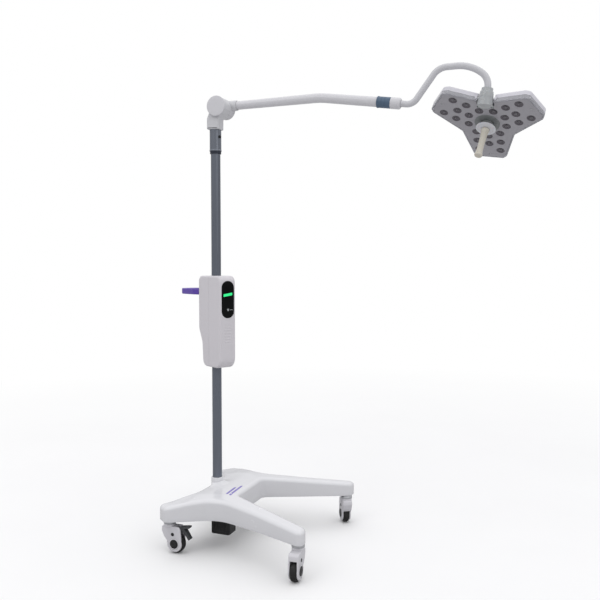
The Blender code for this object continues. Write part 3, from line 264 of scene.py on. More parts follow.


# led_chip and display_dim are spare: no piece wears them.
# Each finish's crease amount and crease colour set how strongly painted shade darkens its
# hollows.
FINISHES = {
    "shell_white": dict(
        rgb=(0.79, 0.79, 0.815), rough=0.24, mottle=(0.012, 4), speck=(0.01, 900),
        bump=(0.05, 260, 0.0002), smudge=(0.05, 9), crease_shade=0.30, coat=0.35),
    "arm_paint": dict(
        rgb=(0.73, 0.725, 0.755), rough=0.28, mottle=(0.015, 7), speck=(0.012, 900),
        bump=(0.06, 420, 0.0002), smudge=(0.05, 28), crease_shade=0.45, coat=0.3),
    "gooseneck_paint": dict(
        rgb=(0.66, 0.66, 0.69), rough=0.30, mottle=(0.02, 7), speck=(0.015, 900),
        bump=(0.07, 500, 0.0002), smudge=(0.05, 28), crease_shade=0.5, coat=0.25),
    "neck_cast": dict(
        rgb=(0.69, 0.69, 0.715), rough=0.36, mottle=(0.02, 7), speck=(0.02, 900),
        bump=(0.12, 620, 0.0003), crease_shade=0.45, coat=0.15),
    "hub_face": dict(
        rgb=(0.72, 0.715, 0.745), rough=0.42, mottle=(0.02, 7), speck=(0.02, 900),
        bump=(0.10, 800, 0.0003)),
    "box_shell": dict(
        rgb=(0.745, 0.72, 0.755), rough=0.42, mottle=(0.012, 7), speck=(0.02, 1500),
        bump=(0.12, 1500, 0.0002), smudge=(0.05, 28), crease_shade=0.45),
    "pole_grey": dict(
        rgb=(0.178, 0.195, 0.232), rough=0.30, metal=0.55, mottle=(0.09, 30),
        speck=(0.04, 1600), stretch=(1, 1, 0.04), bump=(0.12, 900, 0.0002), crease_shade=0.4,
        aniso=0.3),
    "sleeve_grey": dict(
        rgb=(0.205, 0.222, 0.258), rough=0.30, metal=0.6, mottle=(0.06, 40),
        speck=(0.04, 900), stretch=(1, 1, 0.08), bump=(0.14, 800, 0.0002), crease_shade=0.6),
    "ring_slate": dict(
        rgb=(0.100, 0.157, 0.238), rough=0.36, metal=0.1, mottle=(0.08, 7),
        speck=(0.05, 900), bump=(0.25, 1500, 0.0003), wear=(0.30, 0.36, 0.42), crease_shade=0.5),
    "steel": dict(
        rgb=(0.58, 0.59, 0.60), rough=0.27, metal=0.95, mottle=(0.06, 60),
        speck=(0.04, 900), stretch=(1, 1, 0.2), bump=(0.12, 1200, 0.0002),
        wear=(0.75, 0.75, 0.75), crease_shade=0.5, aniso=0.3),
    "zinc_plate": dict(
        rgb=(0.30, 0.31, 0.33), rough=0.42, metal=0.8, mottle=(0.18, 55),
        speck=(0.08, 900), bump=(0.25, 420, 0.0004), wear=(0.5, 0.5, 0.5), crease_shade=0.6),
    "frame_coat": dict(
        rgb=(0.035, 0.037, 0.040), rough=0.55, metal=0.1, mottle=(0.15, 7),
        speck=(0.1, 900), bump=(0.55, 520, 0.0006), wear=(0.16, 0.16, 0.17), crease_shade=0.4),
    "black_housing": dict(
        rgb=(0.012, 0.012, 0.013), rough=0.42, mottle=(0.2, 7), speck=(0.1, 900),
        bump=(0.45, 1300, 0.0004), wear=(0.07, 0.07, 0.075), crease_shade=0.2),
    "tyre_rubber": dict(
        rgb=(0.014, 0.0135, 0.014), rough=0.62, mottle=(0.3, 40), speck=(0.15, 700),
        bump=(0.5, 600, 0.0005), smudge=(0.14, 28), wear=(0.09, 0.088, 0.085), crease_shade=0.1),
    "caster_grey": dict(
        rgb=(0.72, 0.71, 0.745), rough=0.36, mottle=(0.025, 7),
        bump=(0.25, 1100, 0.0004), crease_shade=0.70, crease_shade_rgb=(0.20, 0.20, 0.22), coat=0.15),
    "wheel_core": dict(
        rgb=(0.50, 0.50, 0.52), rough=0.45, speck=(0.04, 900), bump=(0.3, 900, 0.0004),
        wear=(0.4, 0.4, 0.4), crease_shade=0.8, crease_shade_rgb=(0.10, 0.10, 0.10)),
    "axle_cap": dict(
        rgb=(0.010, 0.010, 0.012), rough=0.33, mottle=(0.25, 7), speck=(0.1, 900),
        bump=(0.3, 1200, 0.0003), wear=(0.08, 0.08, 0.085)),
    "swivel_cap": dict(
        rgb=(0.55, 0.56, 0.58), rough=0.30, metal=0.6, mottle=(0.05, 60),
        speck=(0.05, 900), bump=(0.15, 900, 0.0003), crease_shade=0.6,
        crease_shade_rgb=(0.22, 0.23, 0.24)),
    "brake_pedal": dict(
        rgb=(0.055, 0.058, 0.062), rough=0.46, mottle=(0.12, 7), speck=(0.08, 900),
        bump=(0.4, 900, 0.0004), wear=(0.24, 0.24, 0.25), crease_shade=0.4),
    "handle_purple": dict(
        rgb=(0.125, 0.065, 0.44), rough=0.36, mottle=(0.07, 7), speck=(0.05, 900),
        bump=(0.25, 1300, 0.0003), wear=(0.34, 0.27, 0.66), crease_shade=0.5, coat=0.15,
        sss=0.05),
    "accent_purple": dict(
        rgb=(0.235, 0.195, 0.56), rough=0.40, mottle=(0.10, 120), speck=(0.06, 900),
        bump=(0.15, 900, 0.0002)),
    "display_glass": dict(
        rgb=(0.0035, 0.0035, 0.004), rough=0.10, mottle=(0.3, 7), speck=(0, 0),
        bump=(0.02, 300, 0.0001), smudge=(0.05, 45), ior=1.22),
    "display_green": dict(
        rgb=(0.02, 0.60, 0.20), rough=0.35, mottle=(0.12, 160), speck=(0.10, 1200),
        bump=(0.05, 1400, 0.0004), glow=((0.03, 0.75, 0.22), 0.75)),
    "display_icon": dict(
        rgb=(0.75, 0.78, 0.80), rough=0.4, mottle=(0.1, 400), speck=(0.05, 900),
        bump=(0.05, 1400, 0.0004), glow=((0.8, 0.85, 0.9), 0.25)),
    "button_black": dict(
        rgb=(0.012, 0.012, 0.014), rough=0.22, mottle=(0.2, 7), speck=(0.05, 900),
        bump=(0.12, 1200, 0.0002), wear=(0.10, 0.10, 0.11)),
    "panel_grey": dict(
        rgb=(0.43, 0.42, 0.45), rough=0.34, mottle=(0.03, 14), speck=(0.03, 1300),
        bump=(0.08, 900, 0.0002), crease_shade=0.5, coat=0.25),
    # Darker grey for the handle's boss and for the disc painted as the flange's shadow.
    "boss_and_shade_disc": dict(
        rgb=(0.235, 0.25, 0.25), rough=0.30, mottle=(0.05, 20), speck=(0.04, 900),
        bump=(0.15, 1500, 0.0002), wear=(0.36, 0.37, 0.37), crease_shade=0.5, coat=0.3),
    "reflector_cup": dict(
        rgb=(0.150, 0.138, 0.155), rough=0.26, metal=0.45, mottle=(0.25, 120),
        speck=(0.15, 700), bump=(0.35, 420, 0.0006)),
    "lens_dome": dict(
        rgb=(0.40, 0.38, 0.42), rough=0.12, mottle=(0.15, 160), speck=(0.06, 900),
        bump=(0.15, 420, 0.0004), smudge=(0.06, 28), transmission=0.65, ior=1.49),
    "led_chip": dict(
        rgb=(0.62, 0.52, 0.24), rough=0.42, mottle=(0.25, 500), speck=(0.2, 900),
        bump=(0.2, 900, 0.0002)),
    "clear_rim": dict(
        rgb=(0.72, 0.72, 0.77), rough=0.08, mottle=(0.04, 10), speck=(0.02, 900),
        bump=(0.06, 120, 0.0003), smudge=(0.05, 28), transmission=0.55, ior=1.49, coat=0.6),
    "rear_cover": dict(
        rgb=(0.70, 0.69, 0.745), rough=0.30, mottle=(0.012, 7), speck=(0.008, 900),
        bump=(0.04, 260, 0.0002), smudge=(0.04, 28), crease_shade=0.5, coat=0.25),
    "collar_frosted": dict(
        rgb=(0.53, 0.55, 0.56), rough=0.26, mottle=(0.04, 30), speck=(0.02, 900),
        bump=(0.1, 700, 0.0004), crease_shade=0.6, crease_shade_rgb=(0.20, 0.23, 0.24),
        transmission=0.15, coat=0.3, sss=0.1),
    "flange_frosted": dict(
        rgb=(0.86, 0.86, 0.90), rough=0.20, mottle=(0.03, 7), speck=(0.02, 900),
        bump=(0.10, 600, 0.0003), crease_shade=0.4, transmission=0.12, coat=0.4, sss=0.15),
    "grip_ivory": dict(
        rgb=(0.74, 0.70, 0.61), rough=0.40, mottle=(0.05, 22), speck=(0.04, 1200),
        bump=(0.30, 1500, 0.0004), crease_shade=0.5, sss=0.1),
    "battery_wrap": dict(
        rgb=(0.06, 0.10, 0.22), rough=0.35, mottle=(0.15, 25), speck=(0.05, 900),
        bump=(0.3, 200, 0.0006), wear=(0.2, 0.24, 0.34), crease_shade=0.4),
    "circuit_board": dict(
        rgb=(0.02, 0.17, 0.07), rough=0.38, mottle=(0.35, 140), speck=(0.2, 500),
        bump=(0.35, 320, 0.0003), wear=(0.4, 0.36, 0.15)),
    "heat_sink": dict(
        rgb=(0.55, 0.56, 0.58), rough=0.38, metal=0.9, mottle=(0.08, 60),
        speck=(0.05, 900), stretch=(0.1, 1, 1), bump=(0.25, 900, 0.0003),
        wear=(0.7, 0.7, 0.7), crease_shade=0.6),
    # Near-black blue for the band painted as shade under the sleeve's lip.
    "shade_band": dict(
        rgb=(0.030, 0.036, 0.055), rough=0.42, metal=0.2, mottle=(0.12, 60),
        speck=(0.06, 900), bump=(0.25, 1100, 0.0003)),
    "display_dim": dict(
        rgb=(0.10, 0.012, 0.012), rough=0.3, mottle=(0.2, 7), speck=(0.1, 900),
        bump=(0.05, 1400, 0.0004)),
}
MATERIALS = {name: surface("m_" + name, **finish) for name, finish in FINISHES.items()}
NODE_FINISH = {  # CAD nodes that stay in view
    "base_frame": "frame_coat", "pole_bolt": "zinc_plate", "battery_pack": "battery_wrap",
    "control_board": "circuit_board", "neck_spigot": "steel", "hub_axle": "steel",
    "roll_spindle": "steel", "tilt_pin": "steel", "led_board": "circuit_board",
    "heat_sink": "heat_sink",
}


# ---------------------------------------------------------------- placing
def shifted(x, y, z):
    return Matrix.Translation((x, y, z))


def turned(degrees, axis):
    return Matrix.Rotation(radians(degrees), 4, axis)


def frame_from(origin, *axes):
    matrix = Matrix.Identity(4)
    for i, column in enumerate((*axes, origin)):
        matrix.col[i][:3] = column
    return matrix


# Both lay a shape's x and y in the XZ plane, with its z toward -Y.
SIDE_ON = frame_from((0, 0, 0), (1, 0, 0), (0, 0, 1), (0, -1, 0))
TIPPED = turned(90, "X")


# ---------------------------------------------------------------- pieces and cuts
PIECES = []


def make_mesh(name, shape, matrix):
    """Welds a bmesh, turns its faces outward and stores it as a mesh."""
    bmesh.ops.remove_doubles(shape, verts=shape.verts, dist=1e-6)
    bmesh.ops.recalc_face_normals(shape, faces=shape.faces)
    bmesh.ops.transform(shape, matrix=matrix, verts=shape.verts)
    mesh = bpy.data.meshes.new(name)
    shape.to_mesh(mesh)
    shape.free()
    return mesh


def add_object(name, data):
    made = bpy.data.objects.new(name, data)
    bpy.context.scene.collection.objects.link(made)
    return made


def piece(name, shape, finish, node=None, body=None, matrix=Matrix(), bevel=0.0, segments=2,
          sharp=38.0):
    """Makes a piece that covers a CAD node, or only rides a body.

    Edges sharper than `sharp` degrees get the bevel.
    """
    part = add_object(name, make_mesh(name, shape, matrix))
    part.data.materials.append(MATERIALS[finish])
    PIECES.append((part, node, body, bevel, segments, sharp))
    return part


def bake(part):
    """Replaces a part's mesh with the result of its modifiers."""
    bpy.context.view_layer.update()
    graph = bpy.context.evaluated_depsgraph_get()
    baked = bpy.data.meshes.new_from_object(part.evaluated_get(graph))
    part.modifiers.clear()
    old, part.data = part.data, baked
    bpy.data.meshes.remove(old)


def combine(part, shape, operation, matrix):
    tool = add_object("tool", make_mesh("tool", shape, matrix))
    material = part.data.materials[0]
    modifier = part.modifiers.new("b", "BOOLEAN")
    modifier.operation = operation
    modifier.solver = "EXACT"
    modifier.object = tool
    bake(part)
    tool_mesh = tool.data
    bpy.data.objects.remove(tool, do_unlink=True)
    bpy.data.meshes.remove(tool_mesh)
    mesh = part.data
    mesh.materials.clear()
    mesh.materials.append(material)
    for polygon in mesh.polygons:
        polygon.material_index = 0
    tidy = bmesh.new()
    tidy.from_mesh(mesh)
    bmesh.ops.remove_doubles(tidy, verts=tidy.verts, dist=2e-6)
    bmesh.ops.dissolve_degenerate(tidy, edges=tidy.edges, dist=1e-6)
    tidy.to_mesh(mesh)
    tidy.free()


def cut(part, shape, matrix=Matrix()):
    combine(part, shape, "DIFFERENCE", matrix)


def fuse(part, shape, matrix=Matrix()):
    combine(part, shape, "UNION", matrix)


def drill(part, radius, low, high, segs, matrix=Matrix()):
    cut(part, cylinder(radius, low, high, segs), matrix)


def settle():
    """Bevels, shades and attaches every piece once all the cuts are made."""
    for part, node, body, bevel, segments, sharp in PIECES:
        if bevel > 0:
            modifier = part.modifiers.new("edge", "BEVEL")
            modifier.width = bevel
            modifier.segments = segments
            modifier.limit_method = "ANGLE"
            modifier.angle_limit = radians(sharp)
            modifier.use_clamp_overlap = True
            bake(part)
        mesh = part.data
        mesh.name = part.name
        mesh.transform(Matrix.Translation(POLE_FOOT))
        for polygon in mesh.polygons:
            polygon.use_smooth = True
        shape = bmesh.new()
        shape.from_mesh(mesh)
        for edge in shape.edges:
            if len(edge.link_faces) == 2:
                edge.smooth = edge.calc_face_angle(0.0) < radians(32.0)
        shape.to_mesh(mesh)
        shape.free()
        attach(part, NODE_BODY[node] if node else body)
        if node:
            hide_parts(node)


# ---------------------------------------------------------------- outlines
def level(outline, z):
    return [(x, y, z) for x, y in outline]


def mirrored(points):
    """The points in reverse order with their second column negated."""
    return [(first, -second, *rest) for first, second, *rest in reversed(points)]


def circle(radius, segs):
    return [(radius * cos(2 * pi * i / segs), radius * sin(2 * pi * i / segs))
            for i in range(segs)]


def fillet(corners, segs):
    """Rounds (x, y, radius) corners; a radius of 0 stays sharp."""
    outline = []
    for i, (x, y, radius) in enumerate(corners):
        if radius <= 0:
            outline.append((x, y))
            continue
        corner = Vector((x, y))
        back = Vector(corners[i - 1][:2]) - corner
        ahead = Vector(corners[(i + 1) % len(corners)][:2]) - corner
        half_angle = back.angle(ahead) / 2
        trim = min(radius / tan(half_angle), back.length * 0.48, ahead.length * 0.48)
        radius = trim * tan(half_angle)
        back.normalize()
        ahead.normalize()
        centre = corner + (back + ahead).normalized() * (radius / sin(half_angle))
        start = corner + back * trim - centre
        end = corner + ahead * trim - centre
        span = atan2(start.x * end.y - start.y * end.x, start.dot(end))
        for k in range(segs + 1):
            angle = span * k / segs
            outline.append((centre.x + start.x * cos(angle) - start.y * sin(angle),
                            centre.y + start.x * sin(angle) + start.y * cos(angle)))
    return outline


def rect(x0, x1, y0, y1, radius=0.0, segs=6):
    return fillet([(x0, y0, radius), (x1, y0, radius), (x1, y1, radius), (x0, y1, radius)],
                  segs)


def offset(outline, inset):
    """Moves an anticlockwise outline inward."""
    moved_points = []
    for i, here in enumerate(outline):
        point = Vector(here)
        edge_in = (point - Vector(outline[i - 1])).normalized()
        edge_out = (Vector(outline[(i + 1) % len(outline)]) - point).normalized()
        normal_in = Vector((-edge_in.y, edge_in.x))
        normal_out = Vector((-edge_out.y, edge_out.x))
        mitre = (normal_in + normal_out).normalized()
        point = point + mitre * (inset / max(0.35, mitre.dot(normal_in)))
        moved_points.append((point.x, point.y))
    return moved_points


def dense(outline, step):
    """Splits the long sides of an outline."""
    split = []
    for i, here in enumerate(outline):
        there = outline[(i + 1) % len(outline)]
        parts = max(1, int(dist(here, there) / step))
        for j in range(parts):
            split.append((here[0] + (there[0] - here[0]) * j / parts,
                          here[1] + (there[1] - here[1]) * j / parts))
    return split


def inside(point, outline):
    hit = False
    x, y = point
    for i, (xi, yi) in enumerate(outline):
        xj, yj = outline[i - 1]
        if (yi > y) != (yj > y) and x < (xj - xi) * (y - yi) / (yj - yi) + xi:
            hit = not hit
    return hit


def edge_gap(point, outline):
    """Distance from a point to the nearest side of an outline."""
    nearest = 1e9
    x, y = point
    for i, (end_x, end_y) in enumerate(outline):
        start_x, start_y = outline[i - 1]
        run_x, run_y = end_x - start_x, end_y - start_y
        share = (((x - start_x) * run_x + (y - start_y) * run_y)
                 / max(1e-12, run_x * run_x + run_y * run_y))
        share = max(0.0, min(1.0, share))
        nearest = min(nearest, hypot(x - start_x - run_x * share, y - start_y - run_y * share))
    return nearest


def lattice(outline, step, margin, keep_out=0.0):
    """Staggered points inside an outline, `margin` steps off its edge, round a clear circle."""
    points = []
    xs, ys = zip(*outline)
    row = 0
    y = min(ys)
    while y < max(ys):
        x = min(xs) + (step / 2 if row % 2 else 0.0)
        while x < max(xs):
            if (hypot(x, y) >= keep_out and inside((x, y), outline)
                    and edge_gap((x, y), outline) > step * margin):
                points.append((x, y))
            x += step
        y += step * 0.87
        row += 1
    return points


# ---------------------------------------------------------------- solids
def bridge(shape, low, high):
    for i in range(len(low)):
        j = (i + 1) % len(low)
        shape.faces.new((low[i], low[j], high[j], high[i]))


def stack(shape, rings):
    """Joins rings of points into an open wall and returns its rows of vertices."""
    rows = [[shape.verts.new(point) for point in ring] for ring in rings]
    for low, high in zip(rows, rows[1:]):
        bridge(shape, low, high)
    return rows


def loft(rings, close=False):
    """A solid through the rings, capped at its ends or closed on itself."""
    shape = bmesh.new()
    rows = stack(shape, rings)
    if close:
        bridge(shape, rows[-1], rows[0])
    else:
        shape.faces.new(rows[0][::-1])
        shape.faces.new(rows[-1])
    return shape


def lathe(profile, segs):
    """Turns a (radius, z) profile round z; it closes on itself if both ends are off the axis."""
    shape = bmesh.new()
    rows = []
    for radius, z in profile:
        ring = circle(radius, segs) if radius else [(0, 0)]
        rows.append([shape.verts.new(point) for point in level(ring, z)])
    pairs = list(zip(rows, rows[1:]))
    if profile[0][0] and profile[-1][0]:
        pairs.append((rows[-1], rows[0]))
    for low, high in pairs:
        if len(low) == len(high):
            if len(low) > 1:
                bridge(shape, low, high)
            continue
        for i in range(segs):
            j = (i + 1) % segs
            if len(low) == 1:
                shape.faces.new((low[0], high[i], high[j]))
            else:
                shape.faces.new((low[i], low[j], high[0]))
    return shape


def cylinder(radius, low, high, segs):
    return lathe([(0, low), (radius, low), (radius, high), (0, high)], segs)


def tube(inner, outer, low, high, segs):
    return lathe([(inner, low), (outer, low), (outer, high), (inner, high)], segs)


def prism(outline, low, high, rounding=0.0, steps=0):
    """An extruded outline, with quarter-round edges if a rounding is given."""
    if not rounding:
        return loft([level(outline, low), level(outline, high)])
    lower, upper = [], []
    for k in range(steps + 1):
        angle = pi / 2 * k / steps
        ring = offset(outline, rounding * (1 - sin(angle)))
        rise = rounding * (1 - cos(angle))
        lower.append(level(ring, low + rise))
        upper.append(level(ring, high - rise))
    return loft(lower + upper[::-1])


def sweep(path, radii, segs, wall=0.0):
    """A rod along a path in the XZ plane, or a tube if it has a wall."""
    def hoops(sizes):
        rings = []
        for i, (point, radius) in enumerate(zip(path, sizes)):
            ahead = (path[min(len(path) - 1, i + 1)] - path[max(0, i - 1)]).normalized()
            side = Vector((0, 1, 0))
            up = ahead.cross(side).normalized()
            rings.append([point + (side * cos(2 * pi * k / segs)
                                   + up * sin(2 * pi * k / segs)) * radius
                          for k in range(segs)])
        return rings

    if not wall:
        return loft(hoops(radii))
    return loft(hoops(radii) + hoops([radius - wall for radius in radii])[::-1], close=True)


def join(shapes):
    joined = bmesh.new()
    for shape in shapes:
        mesh = bpy.data.meshes.new("t")
        shape.to_mesh(mesh)
        shape.free()
        joined.from_mesh(mesh)
        bpy.data.meshes.remove(mesh)
    return joined


def moved(shape, matrix):
    bmesh.ops.transform(shape, matrix=matrix, verts=shape.verts)
    return shape


def cap(shape, rim, outline, height, grid, hole_radius=0.0, hole_segs=0):
    """Fills a rim of vertices through grid points at a height function.

    A hole round the origin can be left open; its vertices are returned.
    """
    count = len(outline)
    points = [Vector(p) for p in (*outline, *circle(hole_radius, hole_segs), *grid)]
    edges = [(i, (i + 1) % count) for i in range(count)]
    edges += [(count + k, count + (k + 1) % hole_segs) for k in range(hole_segs)]
    verts, _, faces, origins, _, _ = delaunay_2d_cdt(points, edges, [], 0, 1e-7)
    made, hole = [], [None] * hole_segs
    for vert, origin in zip(verts, origins):
        source = min(origin, default=len(points))
        if source < count:
            made.append(rim[source])
            continue
        made.append(shape.verts.new((vert.x, vert.y, height(vert.x, vert.y))))
        if source < count + hole_segs:
            hole[source - count] = made[-1]
    for face in faces:
        x = sum(verts[i].x for i in face) / len(face)
        y = sum(verts[i].y for i in face) / len(face)
        corners = [made[i] for i in face]
        if (hypot(x, y) >= hole_radius * 0.998 and inside((x, y), outline)
                and len(set(corners)) == len(corners)):
            shape.faces.new(corners)
    return hole


# ---------------------------------------------------------------- base
BASE_HALF = [  # +Y half of the plan, from the crotch between the front legs: x, y, fillet
    (0.150, 0.1125, 0.035), (0.490, 0.264, 0.028), (0.490, 0.3225, 0.030),
    (0.285, 0.2445, 0.30), (0.105, 0.1900, 0.14), (-0.0700, 0.2890, 0.026),
    (-0.1230, 0.2480, 0.026), (-0.0340, 0.1180, 0.10),
]


def side_height(x, y):
    """Height of the cover less its crown: it falls away toward the legs and the rear."""
    z = min(BASE_TOP_Z, BASE_TOP_Z + 0.0125 - 0.082 * hypot(x - 0.03, y))
    if x < 0:
        z -= 0.012 * min(1.0, -x / 0.09) * min(1.0, abs(y) / 0.2)
    rear = max(0.0, min(1.0, (0.07 - x) / 0.11))
    return z - 0.015 * rear * rear * (3 - 2 * rear) * (1 - 0.65 * min(1.0, abs(y) / 0.25))


def crown_height(x, y):
    return side_height(x, y) + BASE_CROWN


def top_height(x, y):
    """The top rises in a hollow curve to the pole's collar."""
    near = max(0.0, min(1.0, (0.062 - hypot(x, y)) / (0.062 - COLLAR_R)))
    return crown_height(x, y) + 0.0125 * near ** 2.4


def base_cap(shape, rim, outline, height, step):
    """Fills the cover round the collar's hole, with close rings of points beside the hole."""
    grid = []
    for out in (0.0022, 0.0048, 0.008, 0.012, 0.017, 0.023, 0.030, 0.039):
        radius = COLLAR_R + out
        stagger = 0.5 if int(radius * 1e4) % 2 else 0.0
        for k in range(60):
            angle = 2 * pi * (k + stagger) / 60
            point = (radius * cos(angle), radius * sin(angle))
            if inside(point, outline) and edge_gap(point, outline) > 0.004:
                grid.append(point)
    grid += lattice(outline, step, margin=0.45, keep_out=COLLAR_R + 0.045)
    return cap(shape, rim, outline, height, grid, COLLAR_R, 72)


def base_shell():
    plan = dense(fillet(BASE_HALF + mirrored(BASE_HALF), 12), 0.011)
    outer = [level(offset(plan, inset), BASE_Z + up)
             for inset, up in ((0.0012, 0.0), (0.0003, 0.0005), (0.0, 0.0015))]
    for share in (0.35, 0.7):
        outer.append([
            (x, y, BASE_Z + (side_height(x, y) - BASE_SHOULDER - BASE_Z) * share)
            for x, y in plan])
    for k in range(11):
        angle = pi / 2 * k / 10
        rise = (BASE_SHOULDER + BASE_CROWN) * sin(angle) - BASE_SHOULDER
        outer_line = offset(plan, 0.019 * (1 - cos(angle)))
        outer.append([
            (x, y, side_height(*foot) * (1 - k / 10) + side_height(x, y) * k / 10 + rise)
            for foot, (x, y) in zip(plan, outer_line)])
    wall = offset(plan, COVER_WALL)
    inner = [level(wall, BASE_Z), [(x, y, side_height(x, y) - 0.010) for x, y in wall]]
    for inset, share in ((0.0100, 0.1), (0.0200, 1.0)):
        inner_line = offset(plan, inset)
        inner.append([(x, y, side_height(x, y) + BASE_CROWN * share - COVER_WALL)
                      for x, y in inner_line])
    shape = bmesh.new()
    outer_rows = stack(shape, outer)
    inner_rows = stack(shape, inner)
    bridge(shape, outer_rows[0], inner_rows[0])
    top_hole = base_cap(shape, outer_rows[-1], outer_line, top_height, 0.012)
    low_hole = base_cap(shape, inner_rows[-1], inner_line,
                        lambda x, y: crown_height(x, y) - COVER_WALL, 0.03)
    bridge(shape, top_hole, low_hole)
    piece("base_shell", shape, "shell_white", "base_cover")


def base_collar():
    low, rounding = 0.1820, 0.003
    profile = [(POLE_R + GAP, COLLAR_TOP - 0.0006), (POLE_R + 0.0009, COLLAR_TOP)]
    for k in range(7):
        angle = pi / 2 * k / 6
        profile.append((COLLAR_R - rounding + rounding * sin(angle),
                        COLLAR_TOP - rounding + rounding * cos(angle)))
    profile += [(COLLAR_R, 0.2140), (COLLAR_R, low), (POLE_R + GAP, low)]
    piece("base_collar", lathe(profile, 72), "shell_white", "pole_collar")


def accent_bars():
    """Two thin bars that follow the top, on the -Y side between the pole and the crotch."""
    bars = []
    for x, y, length in ((0.1220, -0.0760, 0.118), (0.1060, -0.0860, 0.086)):
        outline = dense(rect(-0.0042, 0.0042, -length / 2, length / 2, 0.0041), 0.006)
        placed = [turned(3.0, "Z") @ Vector((*point, 0)) + Vector((x, y, 0))
                  for point in outline]
        bars.append(loft([[(p.x, p.y, crown_height(p.x, p.y) + up) for p in placed]
                          for up in (-0.0004, 0.0004)]))
    piece("accent_bars", join(bars), "accent_purple", body="stand")


base_shell()
base_collar()
accent_bars()


# ---------------------------------------------------------------- pole
def pole_skin():
    profile = [(POLE_R, z) for z in (0.1443, 0.30, 0.60, 1.10, 1.40, POLE_TOP)]
    profile += [(POLE_R - 0.002, POLE_TOP), (POLE_R - 0.002, 0.1750), (0.0083, 0.1750),
                (0.0083, 0.1443)]
    piece("pole_skin", lathe(profile, 72), "pole_grey", "pole_tube")


def power_housing():
    """The box under the base, with a recess and five slots in its -Y side."""
    housing = piece("power_housing",
                    prism(rect(0.045, 0.124, -0.140, -0.078, 0.008), 0.050, 0.1247, 0.003, 4),
                    "black_housing", "power_box", bevel=0.0006)
    cut(housing, prism(rect(0.057, 0.112, -0.1415, -0.1394), 0.062, 0.098))
    for k in range(5):
        slot = rect(0.0600 + 0.011 * k, 0.0630 + 0.011 * k, -0.1450, -0.1370)
        cut(housing, prism(slot, 0.068, 0.092))


def pole_sleeve():
    """The sleeve at the pole's top, a dark band below its lip painted as the lip's shadow, and
    its screw.
    """
    bore = POLE_R + GAP
    band_profile = [(bore, 0.0), (0.0214, 0.0), (0.0220, 0.0006), (0.0222, 0.0020),
                    (0.0224, 0.0100), (bore, 0.0100)]
    # A thin dark band under the sleeve's lip stands in for its shadow: painted shade.
    piece("sleeve_shade_band",
          lathe([(radius, SLEEVE_LOW + up) for radius, up in band_profile], 72),
          "shade_band", body="stand")
    lip = [(0.0006, 0.0106), (0.0012, 0.0114), (0.0012, 0.0148), (0.0008, 0.0158),
           (0.0, 0.0170)]
    profile = [(bore, SLEEVE_LOW + 0.0103), (0.0224, SLEEVE_LOW + 0.0103)]
    profile += [(SLEEVE_R + out, SLEEVE_LOW + up) for out, up in lip]
    profile += [(SLEEVE_R, SLEEVE_HIGH - 0.0006), (SLEEVE_R - 0.0006, SLEEVE_HIGH),
                (0.0160, SLEEVE_HIGH), (0.0160, POLE_TOP + GAP), (bore, POLE_TOP + GAP)]
    sleeve = piece("sleeve_skin", lathe(profile, 72), "sleeve_grey", "coupler_sleeve")
    screw_at = shifted(0, 0, 1.598) @ turned(-20, "Z") @ turned(90, "Y")
    drill(sleeve, 0.0031, 0.010, 0.030, 24, screw_at)
    piece("sleeve_thumb_screw", lathe([
        (0, 0.0165), (0.0028, 0.0165), (0.0028, 0.0235), (0.0050, 0.0235),
        (0.0055, 0.0240), (0.0055, 0.0275), (0.0045, 0.0285), (0.0026, 0.0285),
        (0.0026, 0.0268), (0, 0.0268)], 30), "black_housing", "sleeve_screw",
        matrix=screw_at)


pole_skin()
power_housing()
pole_sleeve()

# ---------------------------------------------------------------- casters
PEDAL_X, PEDAL_Z = 0.0380, 0.0860
SWIVEL_PROFILE = [
    (0, 0.1040), (0.0050, 0.1040), (0.0050, 0.1120), (0.0235, 0.1120), (0.0235, 0.1180),
    (0.0228, 0.1196), (0.0196, 0.1240), (0.0188, 0.1247), (0.0060, 0.1247),
    (0.0060, 0.1500), (0, 0.1500),
]
AXLE_CAP_HALF = [
    (0, -0.0207), (0.0060, -0.0207), (0.0068, -0.0215), (0.0150, -0.0215),
    (0.0166, -0.0209), (0.0170, -0.0200), (0.0170, -0.0193), (0.0040, -0.0193),
]
WHEEL_CORE_HALF = [
    (0.0043, -0.0115), (0.0090, -0.0115), (0.0110, -0.0080), (0.0240, -0.0080),
    (0.0279, -0.0100),
]


def caster_fork(name, place, axle, is_rear):
    arc = []
    for k in range(41):
        angle = radians(-196 + 216 * k / 40)
        arc.append((TRAIL + 0.0310 * cos(angle), WHEEL_R + 0.0310 * sin(angle), 0.0))
    side_view = fillet([
        (-0.0240, 0.1035, 0.006), (-0.0260, 0.0860, 0.014), (-0.0175, 0.0650, 0.012), *arc,
        (0.0570, 0.0700, 0.01), (0.0535, 0.0940, 0.01), (0.0470, 0.1035, 0.004)], 8)
    fork = piece(name + "_fork_shell",
                 prism(side_view, -FORK_W / 2, FORK_W / 2, 0.0030, 5), "caster_grey",
                 name + "_fork", matrix=place @ TIPPED, bevel=0.0005)
    fuse(fork, lathe([(0, 0.1000), (0.0225, 0.1000), (0.0225, 0.1098), (0.0220, 0.1109),
                      (0.0210, 0.1116), (0, 0.1116)], 48), place)
    # room for the wheel
    drill(fork, 0.0410, 0.0, FORK_SLOT, 56, axle @ shifted(0, 0, -FORK_SLOT / 2))
    cut(fork, prism(rect(0.0280, 0.08, -FORK_SLOT / 2, FORK_SLOT / 2), 0.030,
                    0.12 if is_rear else 0.0785), place)
    # stem and axle holes
    drill(fork, 0.0053, 0.0975, 0.12, 24, place)
    drill(fork, 0.0043, -0.03, 0.03, 24, axle)
    # a shallow ring groove round each axle cap
    for side in (-1, 1):
        face_z = side * FORK_W / 2
        cut(fork, tube(0.0215, 0.0225, face_z - 0.0006, face_z + 0.0006, 48), axle)
    if is_rear:
        drill(fork, 0.0033, -0.0168, 0.0168, 20,
              place @ shifted(PEDAL_X, 0, PEDAL_Z) @ TIPPED)


